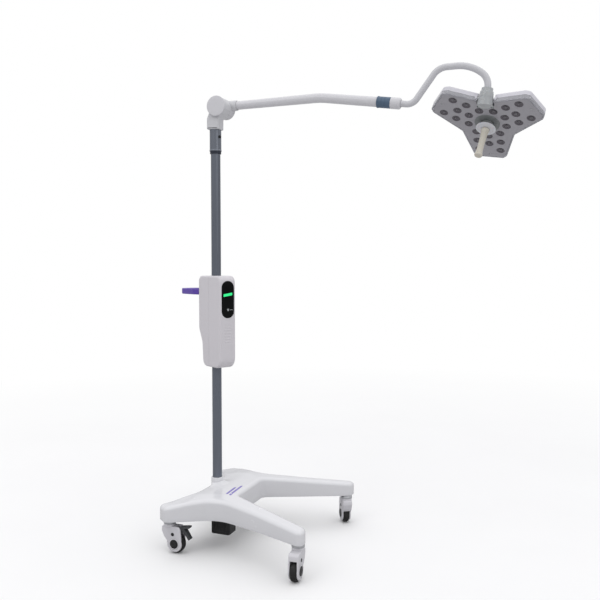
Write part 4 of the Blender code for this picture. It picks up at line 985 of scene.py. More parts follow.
def caster_pins(name, place):
    """A dished pin head on each side of the fork."""
    low, high = FORK_W / 2 - 0.002, FORK_W / 2 + 0.0009
    profile = [(0, low), (0.0066, low), (0.0066, high - 0.0005), (0.0061, high),
               (0.0036, high), (0.0030, high - 0.0006), (0, high - 0.0006)]
    pins = [moved(lathe(profile, 32), Matrix.Scale(side, 4, (0, 0, 1))) for side in (-1, 1)]
    piece(name + "_lock_pins", join(pins), "axle_cap", body=NODE_BODY[name + "_fork"],
          matrix=place @ shifted(0.0220, 0, 0.0735) @ TIPPED)


def caster_wheel(name, axle):
    core = piece(name + "_wheel_core",
                 lathe(WHEEL_CORE_HALF + mirrored(WHEEL_CORE_HALF), 48), "wheel_core",
                 name + "_wheel_hub", matrix=axle, bevel=0.0004)
    for k in range(6):
        angle = radians(60 * k)
        drill(core, 0.0038, -0.02, 0.02, 20,
              axle @ shifted(0.0172 * cos(angle), 0.0172 * sin(angle), 0))
    half = WHEEL_W / 2
    flank = [(0.0285, -half + 0.0005), (0.0290, -half), (0.0330, -half)]
    crown = []
    for k in range(1, 12):
        angle = radians(-90 + 15 * k)
        crown.append((0.0318 + 0.0057 * cos(angle) ** 0.62,
                      half * copysign(abs(sin(angle)) ** 0.75, sin(angle))))
    piece(name + "_tyre_tread", lathe(flank + crown + mirrored(flank), 96), "tyre_rubber",
          name + "_tyre", matrix=axle)


def caster_pedal(name, place):
    lever = fillet([
        (PEDAL_X - 0.0060, PEDAL_Z - 0.0060, 0.003),
        (PEDAL_X + 0.0080, PEDAL_Z - 0.0065, 0.002), (0.0640, 0.0850, 0.003),
        (0.0860, 0.0560, 0.002), (0.0925, 0.0600, 0.002), (0.0715, 0.0920, 0.003),
        (0.0630, 0.0960, 0.002), (0.0890, 0.1010, 0.002), (0.0880, 0.1085, 0.002),
        (0.0560, 0.1040, 0.002), (PEDAL_X - 0.0060, PEDAL_Z + 0.0060, 0.003)], 5)
    pedal = piece(name + "_pedal_lever", prism(lever, -0.0115, 0.0115, 0.0016, 3),
                  "brake_pedal", name + "_pedal", matrix=place @ TIPPED, bevel=0.0003)
    fuse(pedal, cylinder(0.0030, -0.0165, 0.0165, 24),
         place @ shifted(PEDAL_X, 0, PEDAL_Z) @ TIPPED)
    for k in range(4):
        x = 0.0640 + 0.0056 * k
        cut(pedal, prism(rect(x, x + 0.0022, -0.0095, 0.0095),
                         0.1052 + 0.0011 * k + 0.0003, 0.1200), place)


for name, (x, y, heading) in CASTERS.items():
    is_rear = name.startswith("rear")
    place = shifted(x, y, 0) @ turned(heading, "Z")
    axle = place @ shifted(TRAIL, 0, WHEEL_R) @ TIPPED
    piece(name + "_swivel_cap", lathe(SWIVEL_PROFILE, 48), "swivel_cap", name + "_stem",
          matrix=place, bevel=0.0004)
    caster_fork(name, place, axle, is_rear)
    caster_pins(name, place)
    piece(name + "_axle_caps", lathe(AXLE_CAP_HALF + mirrored(AXLE_CAP_HALF), 48),
          "axle_cap", name + "_axle", matrix=axle)
    caster_wheel(name, axle)
    if is_rear:
        caster_pedal(name, place)

# ---------------------------------------------------------------- control box on the pole
BOX_AT = turned(BOX_HEADING, "Z")  # the box's own +X is its front
DISPLAY_MID = (DISPLAY_LOW + DISPLAY_HIGH) / 2
FACE_AT = BOX_AT @ frame_from((0, 0, DISPLAY_MID), (0, 1, 0), (0, 0, 1), (1, 0, 0))
BUTTON_AT = FACE_AT @ shifted(0, -BUTTON_DROP, 0)


def box_side(inset, front, segs=14):
    """Side view (x, z) of the front or rear half of the box."""
    low, high = BOX_LOW + inset, BOX_HIGH - inset
    if front:
        face = BOX_FRONT - inset
        return fillet([(GAP, low, 0), (face, low, 0.040), (face, high, 0.024),
                       (GAP, high, 0)], segs)
    back = -BOX_REAR + inset
    return fillet([
        (-GAP, low, 0), (-GAP, high, 0), (back, high, 0.022), (back, 0.830 + inset, 0.03),
        (back + 0.026, 0.775 + inset, 0.03), (back + 0.033, low, 0.030)], segs)


def box_shell(name, front):
    edge = 0.008
    rings = []
    for k in range(9):
        angle = pi / 2 * k / 8
        rings.append(level(box_side(edge * (1 - sin(angle)), front),
                           -BOX_W / 2 + edge * (1 - cos(angle))))
    rings += [[(x, z, -depth) for x, z, depth in ring] for ring in reversed(rings)]
    shell = piece(name + "_skin", loft(rings), "box_shell", name + "_shell",
                  matrix=BOX_AT @ SIDE_ON)
    # the cavity runs out through the face where the two halves meet
    overrun = -0.02 if front else 0.02
    cavity = [(x + overrun if abs(x) < 0.001 else x, z)
              for x, z in box_side(BOX_WALL + 0.001, front, 5)]
    cut(shell, prism(cavity, -BOX_W / 2 + BOX_WALL, BOX_W / 2 - BOX_WALL), BOX_AT @ SIDE_ON)
    drill(shell, POLE_R + GAP, 0.6, 1.1, 72)
    return shell


def display(front_shell):
    def pill(extra):
        half_w = DISPLAY_W / 2 + extra
        half_h = (DISPLAY_HIGH - DISPLAY_LOW) / 2 + extra
        return rect(-half_w, half_w, -half_h, half_h, half_w * 0.999, 16)

    cut(front_shell, prism(pill(GAP), BOX_FRONT - 0.0020, BOX_FRONT + 0.01), FACE_AT)
    window = piece("display_glass",
                   prism(pill(0.0), BOX_FRONT - 0.0017, BOX_FRONT + 0.0012, 0.0006, 3),
                   "display_glass", "display_window", matrix=FACE_AT)
    bar = [(-0.0200, 0.0105), (0.0200, 0.0165), (0.0200, 0.0275), (-0.0200, 0.0215)]
    cut(window, prism(fillet([(x, y, 0.0015) for x, y in bar], 4),
                      BOX_FRONT + 0.0002, BOX_FRONT + 0.01), FACE_AT)
    piece("display_level_bar",
          prism(fillet([(x, y, 0.0014) for x, y in offset(bar, GAP)], 4),
                BOX_FRONT + 0.0005, BOX_FRONT + 0.0011),
          "display_green", "display_bar", matrix=FACE_AT)
    drill(window, 0.0070, BOX_FRONT - 0.0012, BOX_FRONT + 0.01, 40, BUTTON_AT)


def power_key():
    profile = [(0, -0.0001), (0.0066, -0.0001), (0.0066, 0.0015), (0.0061, 0.0021),
               (0.0054, 0.0022), (0, 0.0020)]
    piece("power_key", lathe([(radius, BOX_FRONT + up) for radius, up in profile], 40),
          "button_black", "power_button", matrix=BUTTON_AT)
    # the mark: a ring open at the top, with an upright stroke in the opening
    low, high = BOX_FRONT + 0.0016, BOX_FRONT + 0.0024
    steps = 34
    angles = [radians(125.0 + 290.0 * k / steps) for k in range(steps + 1)]
    outline = [(0.0037 * cos(angle), 0.0037 * sin(angle)) for angle in angles]
    outline += [(0.0027 * cos(angle), 0.0027 * sin(angle)) for angle in reversed(angles)]
    ring = bmesh.new()
    rows = stack(ring, [level(outline, low), level(outline, high)])
    bridge_ends = [(row[k], row[k + 1], row[-k - 2], row[-k - 1])
                   for row in rows for k in range(steps)]
    for corners in bridge_ends:
        ring.faces.new(corners)
    stroke = prism(rect(-0.0006, 0.0006, 0.0008, 0.0046, 0.0005, 4), low, high)
    piece("power_key_mark", join([ring, stroke]), "display_icon", body="button",
          matrix=BUTTON_AT)


def display_ticks():
    ticks = []
    for x in (0.0110, 0.0150, 0.0190):
        tick = prism(rect(-0.0013, 0.0013, -0.0006, 0.0006, 0.0005, 3),
                     BOX_FRONT + 0.0008, BOX_FRONT + 0.00145)
        ticks.append(moved(tick, shifted(x, -0.0405, 0)))
    piece("display_ticks", join(ticks), "display_icon", body="stand", matrix=FACE_AT)


def box_ribs():
    """Raised ribs low on the front face, widest in the middle."""
    ribs = []
    for k in range(7):
        half = 0.0165 - 0.0012 * abs(k - 3)
        rib = prism(rect(-half, half, -0.0021, 0.0021, 0.002, 5), BOX_FRONT - 0.0006,
                    BOX_FRONT + 0.0007, 0.0005, 3)
        ribs.append(moved(rib, shifted(0, -0.098 - 0.0115 * k, 0)))
    piece("box_front_ribs", join(ribs), "box_shell", body="stand", matrix=FACE_AT)


def push_loop():
    root = -BOX_REAR - GAP
    outer = fillet([
        (root, -0.034, 0.0), (root, 0.034, 0.0), (-BOX_REAR - 0.030, 0.045, 0.03),
        (-HANDLE_OUT, 0.045, 0.036), (-HANDLE_OUT, -0.045, 0.036),
        (-BOX_REAR - 0.030, -0.045, 0.03)], 14)
    near, middle, far = -BOX_REAR - 0.014, -BOX_REAR - 0.034, -HANDLE_OUT + 0.020
    opening = fillet([
        (near, -0.018, 0.006), (near, 0.018, 0.006), (middle, 0.026, 0.02),
        (far, 0.026, 0.018), (far, -0.026, 0.018), (middle, -0.026, 0.02)], 14)
    loop = piece("push_loop", prism(outer, HANDLE_Z - 0.012, HANDLE_Z + 0.012, 0.004, 5),
                 "handle_purple", "push_handle", matrix=BOX_AT, bevel=0.0022, segments=4,
                 sharp=50)
    cut(loop, prism(opening, HANDLE_Z - 0.03, HANDLE_Z + 0.03), BOX_AT)


front_shell = box_shell("box_front", front=True)
box_shell("box_rear", front=False)
display(front_shell)
power_key()
display_ticks()
box_ribs()
push_loop()

# ---------------------------------------------------------------- neck and hub
HUB_AT = shifted(HUB_X, 0, HUB_Z) @ turned(-90, "X")  # its z points along +Y


def neck_casting():
    side_view = fillet([
        (-0.0262, 1.6275, 0.004), (0.0262, 1.6265, 0.004), (0.0264, 1.6680, 0.012),
        (HUB_X + 0.0372, 1.700, 0.008), (HUB_X + 0.0368, 1.727, 0.018),
        (HUB_X - 0.0368, 1.725, 0.02), (HUB_X - 0.0375, 1.695, 0.02),
        (-0.0262, 1.6700, 0.012)], 10)
    neck = piece("neck_casting", prism(side_view, -0.0265, 0.0265, 0.006, 6), "neck_cast",
                 "neck_yoke", matrix=SIDE_ON, bevel=0.0008, segments=3)
    fuse(neck, lathe([
        (0, -0.0360), (HUB_R - 0.0020, -0.0360), (HUB_R - 0.0006, -0.0354),
        (HUB_R, -0.0340), (HUB_R, 0.0165), (HUB_R - 0.0005, 0.0170), (0, 0.0170)], 96),
        HUB_AT)
    # flat face toward the arm, then the sleeve and spigot bore, then the hub bores
    cut(neck, prism(rect(-0.2, 0.2, -0.1, 0.1), 0.0173, 0.06), HUB_AT)
    bore = SLEEVE_R + 2 * GAP
    cut(neck, lathe([(0, 1.60), (bore, 1.60), (bore, 1.6483), (0.0160, 1.6483),
                     (0.0160, 1.6563), (0, 1.6563)], 72))
    cut(neck, lathe([
        (0, -0.0370), (0.0300, -0.0370), (0.0300, -0.0330), (0.0095, -0.0330),
        (0.0095, 0.0), (0.0210, 0.0), (0.0210, 0.02), (0, 0.02)], 64), HUB_AT)


neck_casting()
piece("hub_face_cap", lathe([
    (0, -0.0404), (0.0200, -0.0405), (0.0370, -0.0405), (0.0382, -0.0403),
    (0.0391, -0.0397), (0.0395, -0.0388), (0.0395, -0.0366), (0.0392, -0.0363),
    (0.0297, -0.0363), (0.0297, -0.0333), (0, -0.0333)], 128), "hub_face", "hub_cap",
    matrix=HUB_AT)

# ---------------------------------------------------------------- arm
# The arm leaves the hub level, bends down by ARM_DROP and then runs straight.
RUN = Vector((cos(ARM_DROP), 0, -sin(ARM_DROP)))


def arm_point(x, z=ARM_LEVEL_Z):
    return Vector((x, ARM_Y, z))


arm_path = [arm_point(HUB_X + 0.020 + along) for along in (0.0, 0.06, 0.12, 0.18, 0.26)]
for k in range(17):
    angle = ARM_DROP * k / 16
    arm_path.append(arm_point(
        ARM_BEND_X - ARM_BEND_R * tan(ARM_DROP / 2) + ARM_BEND_R * sin(angle),
        ARM_LEVEL_Z - ARM_BEND_R * (1 - cos(angle))))
bend_end = arm_path[-1]
reach = (RING_X[0] + 0.006 - bend_end.x) / cos(ARM_DROP)
arm_path += [bend_end + RUN * reach * k / 4 for k in range(1, 5)]

RING_START = bend_end + RUN * ((RING_X[0] - bend_end.x) / cos(ARM_DROP))
RING_LEN = (RING_X[1] - RING_X[0]) / cos(ARM_DROP)
SOCKET_LEN = (END_SLEEVE_X - RING_X[1]) / cos(ARM_DROP)
ring_z = RUN.normalized()
ring_x = Vector((0, 1, 0)).cross(ring_z).normalized()
RING_AT = frame_from(RING_START, ring_x, ring_z.cross(ring_x), ring_z)


def arm_beam():
    lengths = [0.0]
    for here, there in zip(arm_path, arm_path[1:]):
        lengths.append(lengths[-1] + (there - here).length)
    radii = [ARM_START_R + (ARM_END_R - ARM_START_R) * length / lengths[-1]
             for length in lengths]
    piece("arm_beam", sweep(arm_path, radii, 64, wall=0.003), "arm_paint", "arm_tube",
          bevel=0.0005)


def arm_hub():
    hub = piece("arm_hub_casting", lathe([
        (0, 0.0176), (HUB_R - 0.0006, 0.0176), (HUB_R, 0.0182), (HUB_R, 0.0560),
        (HUB_R - 0.0010, 0.0584), (HUB_R - 0.0035, 0.0598), (HUB_R - 0.006, 0.0600),
        (0, 0.0600)], 96), "neck_cast", "arm_hub", matrix=HUB_AT, bevel=0.0008, segments=3)
    # the arm's socket and its bore
    fuse(hub, sweep([arm_point(HUB_X + out) for out in (0.0, 0.052, 0.056)],
                    [0.0205, 0.0205, 0.0192], 64))
    cut(hub, sweep([arm_point(HUB_X + out) for out in (0.0195, 0.10)],
                   [ARM_START_R + 0.0006] * 2, 64))
    drill(hub, 0.0093, 0.0100, 0.0463, 40, HUB_AT)
    drill(hub, 0.0210, 0.0100, 0.0182, 64, HUB_AT)
    # a ring groove on the +Y face and a slot in the rim
    cut(hub, tube(0.0270, 0.0280, 0.0592, 0.0610, 64), HUB_AT)
    cut(hub, prism(rect(-0.0065, 0.0065, -0.0016, 0.0016, 0.0015, 4), HUB_R - 0.0022,
                   HUB_R + 0.004), shifted(HUB_X, 0.038, HUB_Z) @ turned(38, "Y"))


def arm_band():
    body_r = RING_R - 0.0010
    groove_r = RING_R - 0.0016
    profile = [
        (0.0190, 0.0), (RING_R - 0.0012, 0.0), (RING_R - 0.0003, 0.0004),
        (RING_R, 0.0012), (RING_R, 0.0048), (RING_R - 0.0004, 0.0056), (body_r, 0.0060)]
    for z in (0.0180, 0.0300):
        profile += [(body_r, z), (groove_r, z + 0.0004), (groove_r, z + 0.0010),
                    (body_r, z + 0.0014)]
    profile += [
        (body_r, RING_LEN - 0.0030), (RING_R - 0.0014, RING_LEN - 0.0016),
        (RING_R - 0.0025, RING_LEN - 0.0003), (0.0105, RING_LEN - 0.0003),
        (0.0105, 0.0075), (0.0190, 0.0075)]
    piece("arm_band", lathe(profile, 80), "ring_slate", "arm_ring", matrix=RING_AT)


def gooseneck_socket():
    end = RING_LEN + SOCKET_LEN
    start_profile = [(0, 0.0), (0.0203, 0.0), (0.0210, 0.0008), (0.0210, 0.0250),
                     (0.0206, 0.0254), (0.0206, 0.0262), (0.0210, 0.0266)]
    end_profile = [(0.0210, 0.0062), (0.0203, 0.0040), (0.0186, 0.0018), (0.0160, 0.0),
                   (0, 0.0)]
    profile = [(radius, RING_LEN + up) for radius, up in start_profile]
    profile += [(radius, end - short) for radius, short in end_profile]
    socket = piece("gooseneck_socket", lathe(profile, 80), "arm_paint", "end_sleeve",
                   matrix=RING_AT)
    drill(socket, 0.0103, RING_LEN - 0.01, RING_LEN + 0.0150, 48, RING_AT)
    drill(socket, GOOSE_R + 0.0006, RING_LEN + 0.0180, RING_LEN + 0.06, 56, RING_AT)


arm_beam()
arm_hub()
arm_band()
gooseneck_socket()

# ---------------------------------------------------------------- gooseneck
GOOSE_SEAT = 0.0183  # where the tube starts inside its socket


def toward(angle):
    """Direction in the XZ plane at an angle above +X."""
    return Vector((cos(angle), 0, sin(angle)))


position = RING_START + RUN * (RING_LEN + GOOSE_SEAT)
heading = -ARM_DROP
goose_path = [position]
position = position + RUN * (SOCKET_LEN - GOOSE_SEAT)
goose_path.append(position)
for radius, straight, degrees in GOOSE_TURNS:
    if straight:
        for k in range(3):
            position = position + toward(heading) * straight / 3
            goose_path.append(position)
        continue
    steps = max(10, int(abs(degrees) / 2.6))
    step_turn = radians(degrees) / steps
    chord = 2 * radius * sin(abs(step_turn) / 2)
    for k in range(steps):
        heading += step_turn / 2
        position = position + toward(heading) * chord
        heading += step_turn / 2
        goose_path.append(position)
piece("gooseneck_skin", sweep(goose_path, [GOOSE_R] * len(goose_path), 48, wall=0.002),
      "gooseneck_paint", "gooseneck_tube")

# ---------------------------------------------------------------- head frames
# The collar's z runs back up the gooseneck. The head's y runs from the pivot to its centre,
# and its z points away from the side the LEDs shine from.
down = toward(heading)
collar_z = -down
pivot = position + down * PIVOT_DROP
level_x = Vector((0, 1, 0)).cross(collar_z).normalized()
head_x = (Matrix.Rotation(radians(COLLAR_SWIVEL), 3, collar_z) @ level_x).normalized()
collar_y = collar_z.cross(head_x).normalized()
head_y = (collar_y * cos(radians(HEAD_TILT)) - collar_z * sin(radians(HEAD_TILT))).normalized()
head_z = head_x.cross(head_y).normalized()
centre = pivot + head_y * PIVOT_TO_CENTRE - head_z * PIVOT_ABOVE_LEDS
COLLAR_AT = frame_from(pivot, head_x, collar_y, collar_z)
HEAD_AT = frame_from(centre, head_x, head_y, head_z)
PIN_AT = frame_from(pivot, head_y, head_z, head_x)  # its z is the tilt pin


def swivel_collar():
    ball = RECESS_R - 0.0015
    seat = PIVOT_DROP - 0.0010
    profile = [(0, -ball)]
    for k in range(1, 15):
        angle = radians(50.0 * k / 14)
        profile.append((ball * sin(angle), -ball * cos(angle)))
    profile += [
        (0.0272, -0.0180), (0.0262, -0.004), (0.0254, 0.0030), (0.0247, 0.0036),
        (0.0247, 0.0048), (0.0252, 0.0054), (0.0242, 0.0150), (0.0230, 0.0236),
        (0.0224, 0.0246), (0.0206, 0.0256), (0.0202, 0.0268), (0.0200, 0.0340),
        (0.0192, 0.0362), (0.0176, 0.0372), (GOOSE_R + 0.0005, 0.0372),
        (GOOSE_R + 0.0005, seat), (0, seat)]
    collar = piece("swivel_collar", lathe(profile, 80), "collar_frosted", "joint_collar",
                   matrix=COLLAR_AT)
    drill(collar, PIN_HOLE_R, -0.05, 0.05, 24, PIN_AT)


def lobe_axes(k):
    """Directions along and across a lobe."""
    angle = radians(90 + 120 * k)
    out = Vector((cos(angle), sin(angle)))
    return out, Vector((-out.y, out.x))


def head_outline(inset=0.0, near_notch=NOTCH_R):
    """The three-lobed outline; near_notch is the notch on the pivot's side."""
    shoulder, shoulder_w = LOBE_SHOULDER
    points, rounds = [], []
    for k in range(3):
        out, across = lobe_axes(k)
        for along, sideways in ((shoulder, -shoulder_w), (LOBE_R, -LOBE_TIP_W),
                                (LOBE_R, LOBE_TIP_W), (shoulder, shoulder_w)):
            point = out * along + across * sideways
            points.append((point.x, point.y))
            rounds.append(max(0.0015, 0.012 - inset))
        angle = radians(90 + 120 * k) + radians(60)
        notch = near_notch if k == 1 else NOTCH_R
        points.append((notch * cos(angle), notch * sin(angle)))
        rounds.append(0.020 + inset)
    return fillet([(x, y, r) for (x, y), r in zip(offset(points, inset), rounds)], 7)


def recess(part):
    """Clears the room the collar's ball swings in."""
    drill(part, RECESS_R, -RECESS_W, RECESS_W, 96, PIN_AT)
    cut(part, prism(rect(-RECESS_W, RECESS_W, -PIVOT_TO_CENTRE - 0.06,
                         -PIVOT_TO_CENTRE + 0.031), PIVOT_ABOVE_LEDS, 0.08), HEAD_AT)


def rear_cover():
    """A hollow cover with an elliptical shoulder and a slight dome."""
    outer = [level(head_outline(0.0005), z) for z in (RIM_T + GAP, 0.0225, 0.0290)]
    for k in range(1, 9):
        angle = pi / 2 * k / 8
        top_line = head_outline(0.0005 + 0.0195 * (1 - cos(angle)))
        outer.append(level(top_line, 0.0290 + 0.0116 * sin(angle)))
    inner = [level(head_outline(inset, INNER_NOTCH_R), z) for inset, z in (
        (0.0035, RIM_T + GAP), (0.0035, 0.029), (0.0110, HEAD_T - 0.003),
        (0.0200, HEAD_T - 0.0015))]

    def dome(x, y):
        share = min(1.0, edge_gap((x, y), top_line) / 0.035)
        return 0.0406 + 0.0009 * sin(pi / 2 * share)

    shape = bmesh.new()
    outer_rows = stack(shape, outer)
    inner_rows = stack(shape, inner)
    bridge(shape, outer_rows[0], inner_rows[0])
    cap(shape, outer_rows[-1], top_line, dome, lattice(top_line, 0.010, margin=0.5))
    shape.faces.new(inner_rows[-1])
    cover = piece("rear_cover_shell", shape, "rear_cover", "head_rear_cover",
                  matrix=HEAD_AT)
    for start in EAR_STARTS:
        fuse(cover, cylinder(EAR_R, 0.0, EAR_T, 32), PIN_AT @ shifted(0, 0, start))
    recess(cover)
    drill(cover, PIN_HOLE_R, -0.0358, 0.0358, 24, PIN_AT)
    # cooling slots on the back of each lobe
    for k in range(3):
        for j in range(3):
            half = 0.0210 - 0.003 * j
            slot = rect(-0.0210 + 0.003 * j, half, 0.1200 + 0.0100 * j,
                        0.1230 + 0.0100 * j, 0.0014, 5)
            cut(cover, prism(slot, 0.0402, 0.0500), HEAD_AT @ turned(120 * k, "Z"))


def clear_rim():
    section = (  # inset, z
        (0.0012, 0.0), (0.0004, 0.0003), (0.0, 0.0011), (0.0, RIM_T - 0.0006),
        (0.0006, RIM_T), (0.0060, RIM_T), (0.0060, 0.0006), (0.0056, 0.0))
    rim = piece("clear_rim",
                loft([level(head_outline(inset), z) for inset, z in section], close=True),
                "clear_rim", "head_rim", matrix=HEAD_AT)
    recess(rim)
    for start in (EAR_STARTS[0] + 0.0005, EAR_STARTS[1]):
        drill(rim, EAR_R + 0.0005, -0.001, 0.0085, 32, PIN_AT @ shifted(0, 0, start))


def lens_panel():
    """The panel with its wells, and the cups and lens domes that sit in them."""
    panel = piece("lens_panel", prism(head_outline(0.0063), 0.0, PANEL_TOP, 0.0006, 3),
                  "panel_grey", "led_panel", matrix=HEAD_AT, bevel=0.0003, sharp=50)
    recess(panel)
    depth = PANEL_TOP - 0.0004
    well = [(0, -0.0010), (LENS_R + 0.0002, -0.0010), (LENS_R - 0.0006, 0.0006),
            (LENS_R - 0.0006, depth), (0, depth)]
    cup = [(LENS_R - 0.0007, 0.0007), (LENS_R - 0.0016, 0.0009), (LENS_R - 0.0030, 0.0016),
           (LENS_R - 0.0048, 0.0024), (LENS_R - 0.0070, depth - 0.0006),
           (0, depth - 0.0006), (0, depth), (LENS_R - 0.0007, depth)]
    dome = [(0, 0.0004)]
    for j in range(1, 7):
        angle = pi / 2 * j / 6
        dome.append((0.0068 * sin(angle), 0.0028 - 0.0024 * cos(angle)))
    dome += [(0.0068, depth - 0.0005), (0, depth - 0.0005)]

    wells, cups, domes = [], [], []
    for k in range(3):
        out, across = lobe_axes(k)
        for along, sideways in LED_ROWS:
            for side in ((-1, 1) if sideways else (1,)):
                point = out * along + across * sideways * side
                place = shifted(point.x, point.y, 0)
                wells.append(moved(lathe(well, 40), place))
                cups.append(moved(lathe(cup, 40), place))
                domes.append(moved(lathe(dome, 32), place))
    cut(panel, join(wells), HEAD_AT)
    drill(panel, 0.0216, -0.01, 0.02, 64, HEAD_AT)
    piece("reflector_cups", join(cups), "reflector_cup", body="head", matrix=HEAD_AT)
    piece("lens_domes", join(domes), "lens_dome", body="head", matrix=HEAD_AT)
    return panel


def head_handle():
    """A thin dark disc painted as the flange's shadow, the handle's boss, the flange and the
    grip, toward the lit side.
    """
    # Painted shadow: a thin darker disc round the handle's boss stands in for the shade the
    # flange casts on the panel.
    piece("boss_and_shade_disc", lathe([
        (0.0224, -0.0009), (0.0450, -0.0009), (0.0460, -0.0001), (0.0460, 0.0003),
        (0.0224, 0.0003)], 80), "boss_and_shade_disc", body="head", matrix=HEAD_AT)
    piece("handle_boss", lathe([
        (0, 0.0040), (0.0210, 0.0040), (0.0210, -0.0030), (0.0204, -0.0042),
        (0.0170, -0.0070), (0.0152, -0.0100), (0.0150, -0.0192), (0, -0.0192)], 72),
        "boss_and_shade_disc", body="head", matrix=HEAD_AT)
    piece("flange_disc", lathe([
        (0, -0.0194), (0.0150, -0.0194), (0.0160, -0.0206), (0.0200, -0.0212),
        (0.0216, -0.0215), (FLANGE_R - 0.004, -0.0225), (FLANGE_R - 0.0008, -0.0232),
        (FLANGE_R, -0.0240), (FLANGE_R - 0.0004, -0.0252), (FLANGE_R - 0.003, -0.0265),
        (0.0290, -0.0268), (0.0284, -0.0262), (0.0274, -0.0262), (0.0268, -0.0269),
        (0.0180, -0.0276), (0.0130, -0.0280), (0.0075, -0.0280), (0.0075, -0.0900),
        (0, -0.0900)], 96), "flange_frosted", "handle_flange", matrix=HEAD_AT)
    piece("sterile_grip", lathe([
        (0.0078, -0.0283), (0.0132, -0.0283), (0.0140, -0.0288), (0.0149, -0.0318),
        (0.0149, -0.0340), (0.0138, -0.0385), (0.0129, -0.0430), (0.0122, -0.0560),
        (0.0118, -0.0700), (0.0114, -0.0850), (0.0112, -0.1000), (0.0114, -0.1130),
        (0.0120, -0.1250), (0.0132, -0.1340), (0.0143, -0.1390), (0.0145, -0.1410),
        (0.0141, -0.1432), (0.0128, -0.1450), (0.0110, -HANDLE_LEN - 0.001),
        (0.0060, -HANDLE_LEN - 0.001), (0.0052, -HANDLE_LEN - 0.0002),
        (0, -HANDLE_LEN - 0.0002), (0, -0.0903), (0.0078, -0.0903)], 72),
        "grip_ivory", "handle_grip", matrix=HEAD_AT)


def lobe_screws(panel):
    for k in range(3):
        point = lobe_axes(k)[0] * LOBE_SCREW_OUT
        place = HEAD_AT @ shifted(point.x, point.y, 0)
        drill(panel, 0.0036, -0.01, 0.0034, 28, place)
        screw = piece("lobe_screw_%d" % (k + 1), lathe([
            (0, 0.0031), (0.0016, 0.0031), (0.0033, 0.0008), (0.0033, -0.0004),
            (0.0026, -0.0008), (0, -0.0010)], 28), "steel", "panel_screw_%d" % (k + 1),
            matrix=place)
        cut(screw, prism(rect(-0.0023, 0.0023, -0.0004, 0.0004), -0.0020, -0.0002),
            place @ turned(35 * k + 20, "Z"))


swivel_collar()
rear_cover()
clear_rim()
panel = lens_panel()
head_handle()
lobe_screws(panel)
settle()

# ---------------------------------------------------------------- CAD nodes that stay
for node, part in frame["nodes"].items():
    if node in NODE_FINISH or not part.hide_render:
        part.data.materials.clear()
        part.data.materials.append(MATERIALS[NODE_FINISH.get(node, "zinc_plate")])


# ---------------------------------------------------------------- studio
def floor_material():
    """Pale to the camera and greyer to bounced light; it glows white into the distance."""
    material = bpy.data.materials.new("m_studio_floor")
    material.use_nodes = True
    tree = material.node_tree
    shader = tree.nodes["Principled BSDF"]
    drift = remap(tree, noise(tree, 1.2, detail=3.0, rough=0.55), (0.3, 0.7), (0, 1))
    pale = mix(tree, drift, (0.94, 0.94, 0.94), (0.96, 0.96, 0.96))
    seen = add(tree, "LightPath", {}).outputs["Is Camera Ray"]
    feed(tree, shader, {
        "Base Color": mix(tree, seen, (0.52, 0.52, 0.525), pale),
        "Roughness": 0.9, "Specular IOR Level": 0.1,
    })
    coords = add(tree, "TexCoord", {}).outputs["Object"]
    distance = add(tree, "VectorMath", {0: coords}, operation="LENGTH").outputs["Value"]
    glow = add(tree, "Emission", {"Strength": 1.0})
    fade = add(tree, "Math", {0: remap(tree, distance, (1.2, 4.5), (0.0, 1.0)), 1: seen},
               operation="MULTIPLY")
    blend = add(tree, "MixShader", {
        0: fade.outputs[0], 1: shader.outputs[0], 2: glow.outputs[0],
    })
    feed(tree, tree.nodes["Material Output"], {"Surface": blend.outputs[0]})
    return material


def studio_floor():
    material = floor_material()
    mesh = bpy.data.meshes.new("studio_floor")
    shape = bmesh.new()
    bmesh.ops.create_circle(shape, cap_ends=True, segments=96, radius=26.0)
    shape.to_mesh(mesh)
    shape.free()
    floor = add_object("studio_floor", mesh)
    floor.location = POLE_FOOT + Vector((0.5, 0.5, -0.0006))
    mesh.materials.append(material)


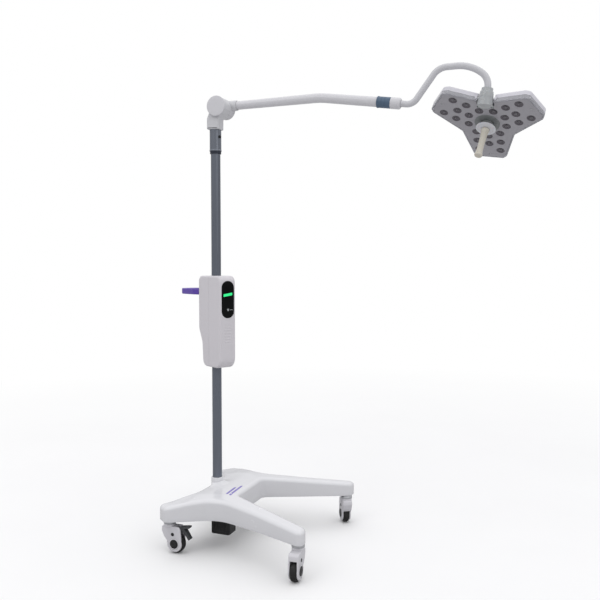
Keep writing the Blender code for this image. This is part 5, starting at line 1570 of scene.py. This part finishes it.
def studio_world():
    """A grey sky that brightens upward for lighting, and plain white to the camera."""
    world = bpy.data.worlds.new("studio")
    bpy.context.scene.world = world
    world.use_nodes = True
    tree = world.node_tree
    tree.nodes.clear()
    coords = add(tree, "TexCoord", {}).outputs["Generated"]
    height = add(tree, "SeparateXYZ", {"Vector": coords}).outputs["Z"]
    share = add(tree, "Math", {0: height, 1: 0.5, 2: 0.5}, operation="MULTIPLY_ADD")
    ramp = add(tree, "ValToRGB", {"Fac": share.outputs[0]})
    stops = ramp.color_ramp.elements
    stops[0].position = 0.50
    stops[0].color = (0.26, 0.26, 0.265, 1)
    stops[1].position = 1.0
    stops[1].color = (0.92, 0.92, 0.93, 1)
    stops.new(0.65).color = (0.54, 0.54, 0.55, 1)
    lit = add(tree, "Background", {"Color": ramp.outputs["Color"], "Strength": 1.32})
    seen = add(tree, "Background", {"Color": (1, 1, 1, 1), "Strength": 1.0})
    camera_ray = add(tree, "LightPath", {}).outputs["Is Camera Ray"]
    blend = add(tree, "MixShader", {0: camera_ray, 1: lit.outputs[0], 2: seen.outputs[0]})
    add(tree, "OutputWorld", {"Surface": blend.outputs[0]})


def area(name, at, look, size, power):
    data = bpy.data.lights.new(name, "AREA")
    data.shape = "RECTANGLE"
    data.size, data.size_y = size
    data.energy = power
    light = add_object(name, data)
    light.location = Vector(at) + POLE_FOOT
    light.rotation_euler = (Vector(look) - Vector(at)).to_track_quat("-Z", "Y").to_euler()


def studio_camera():
    camera = add_object("camera", bpy.data.cameras.new("camera"))
    camera.data.lens = 42.0
    camera.data.sensor_width = 36.0
    camera.location = Vector((1.3393, -2.5043, 1.0821)) + POLE_FOOT
    left_of_y = radians(21.323)
    rise = radians(-2.7007)
    look = Vector((-sin(left_of_y) * cos(rise), cos(left_of_y) * cos(rise), sin(rise)))
    camera.rotation_euler = look.to_track_quat("-Z", "Y").to_euler()
    bpy.context.scene.camera = camera


studio_floor()
studio_world()
area("key", at=(-1.4, -3.4, 4.2), look=(0.3, 0.0, 0.9), size=(2.2, 2.2), power=16.0)
area("fill", at=(3.6, -2.0, 2.6), look=(0.6, 0.0, 1.1), size=(1.6, 2.4), power=9.0)
studio_camera()
bpy.context.scene.view_settings.view_transform = "Standard"

bpy.context.view_layer.update()
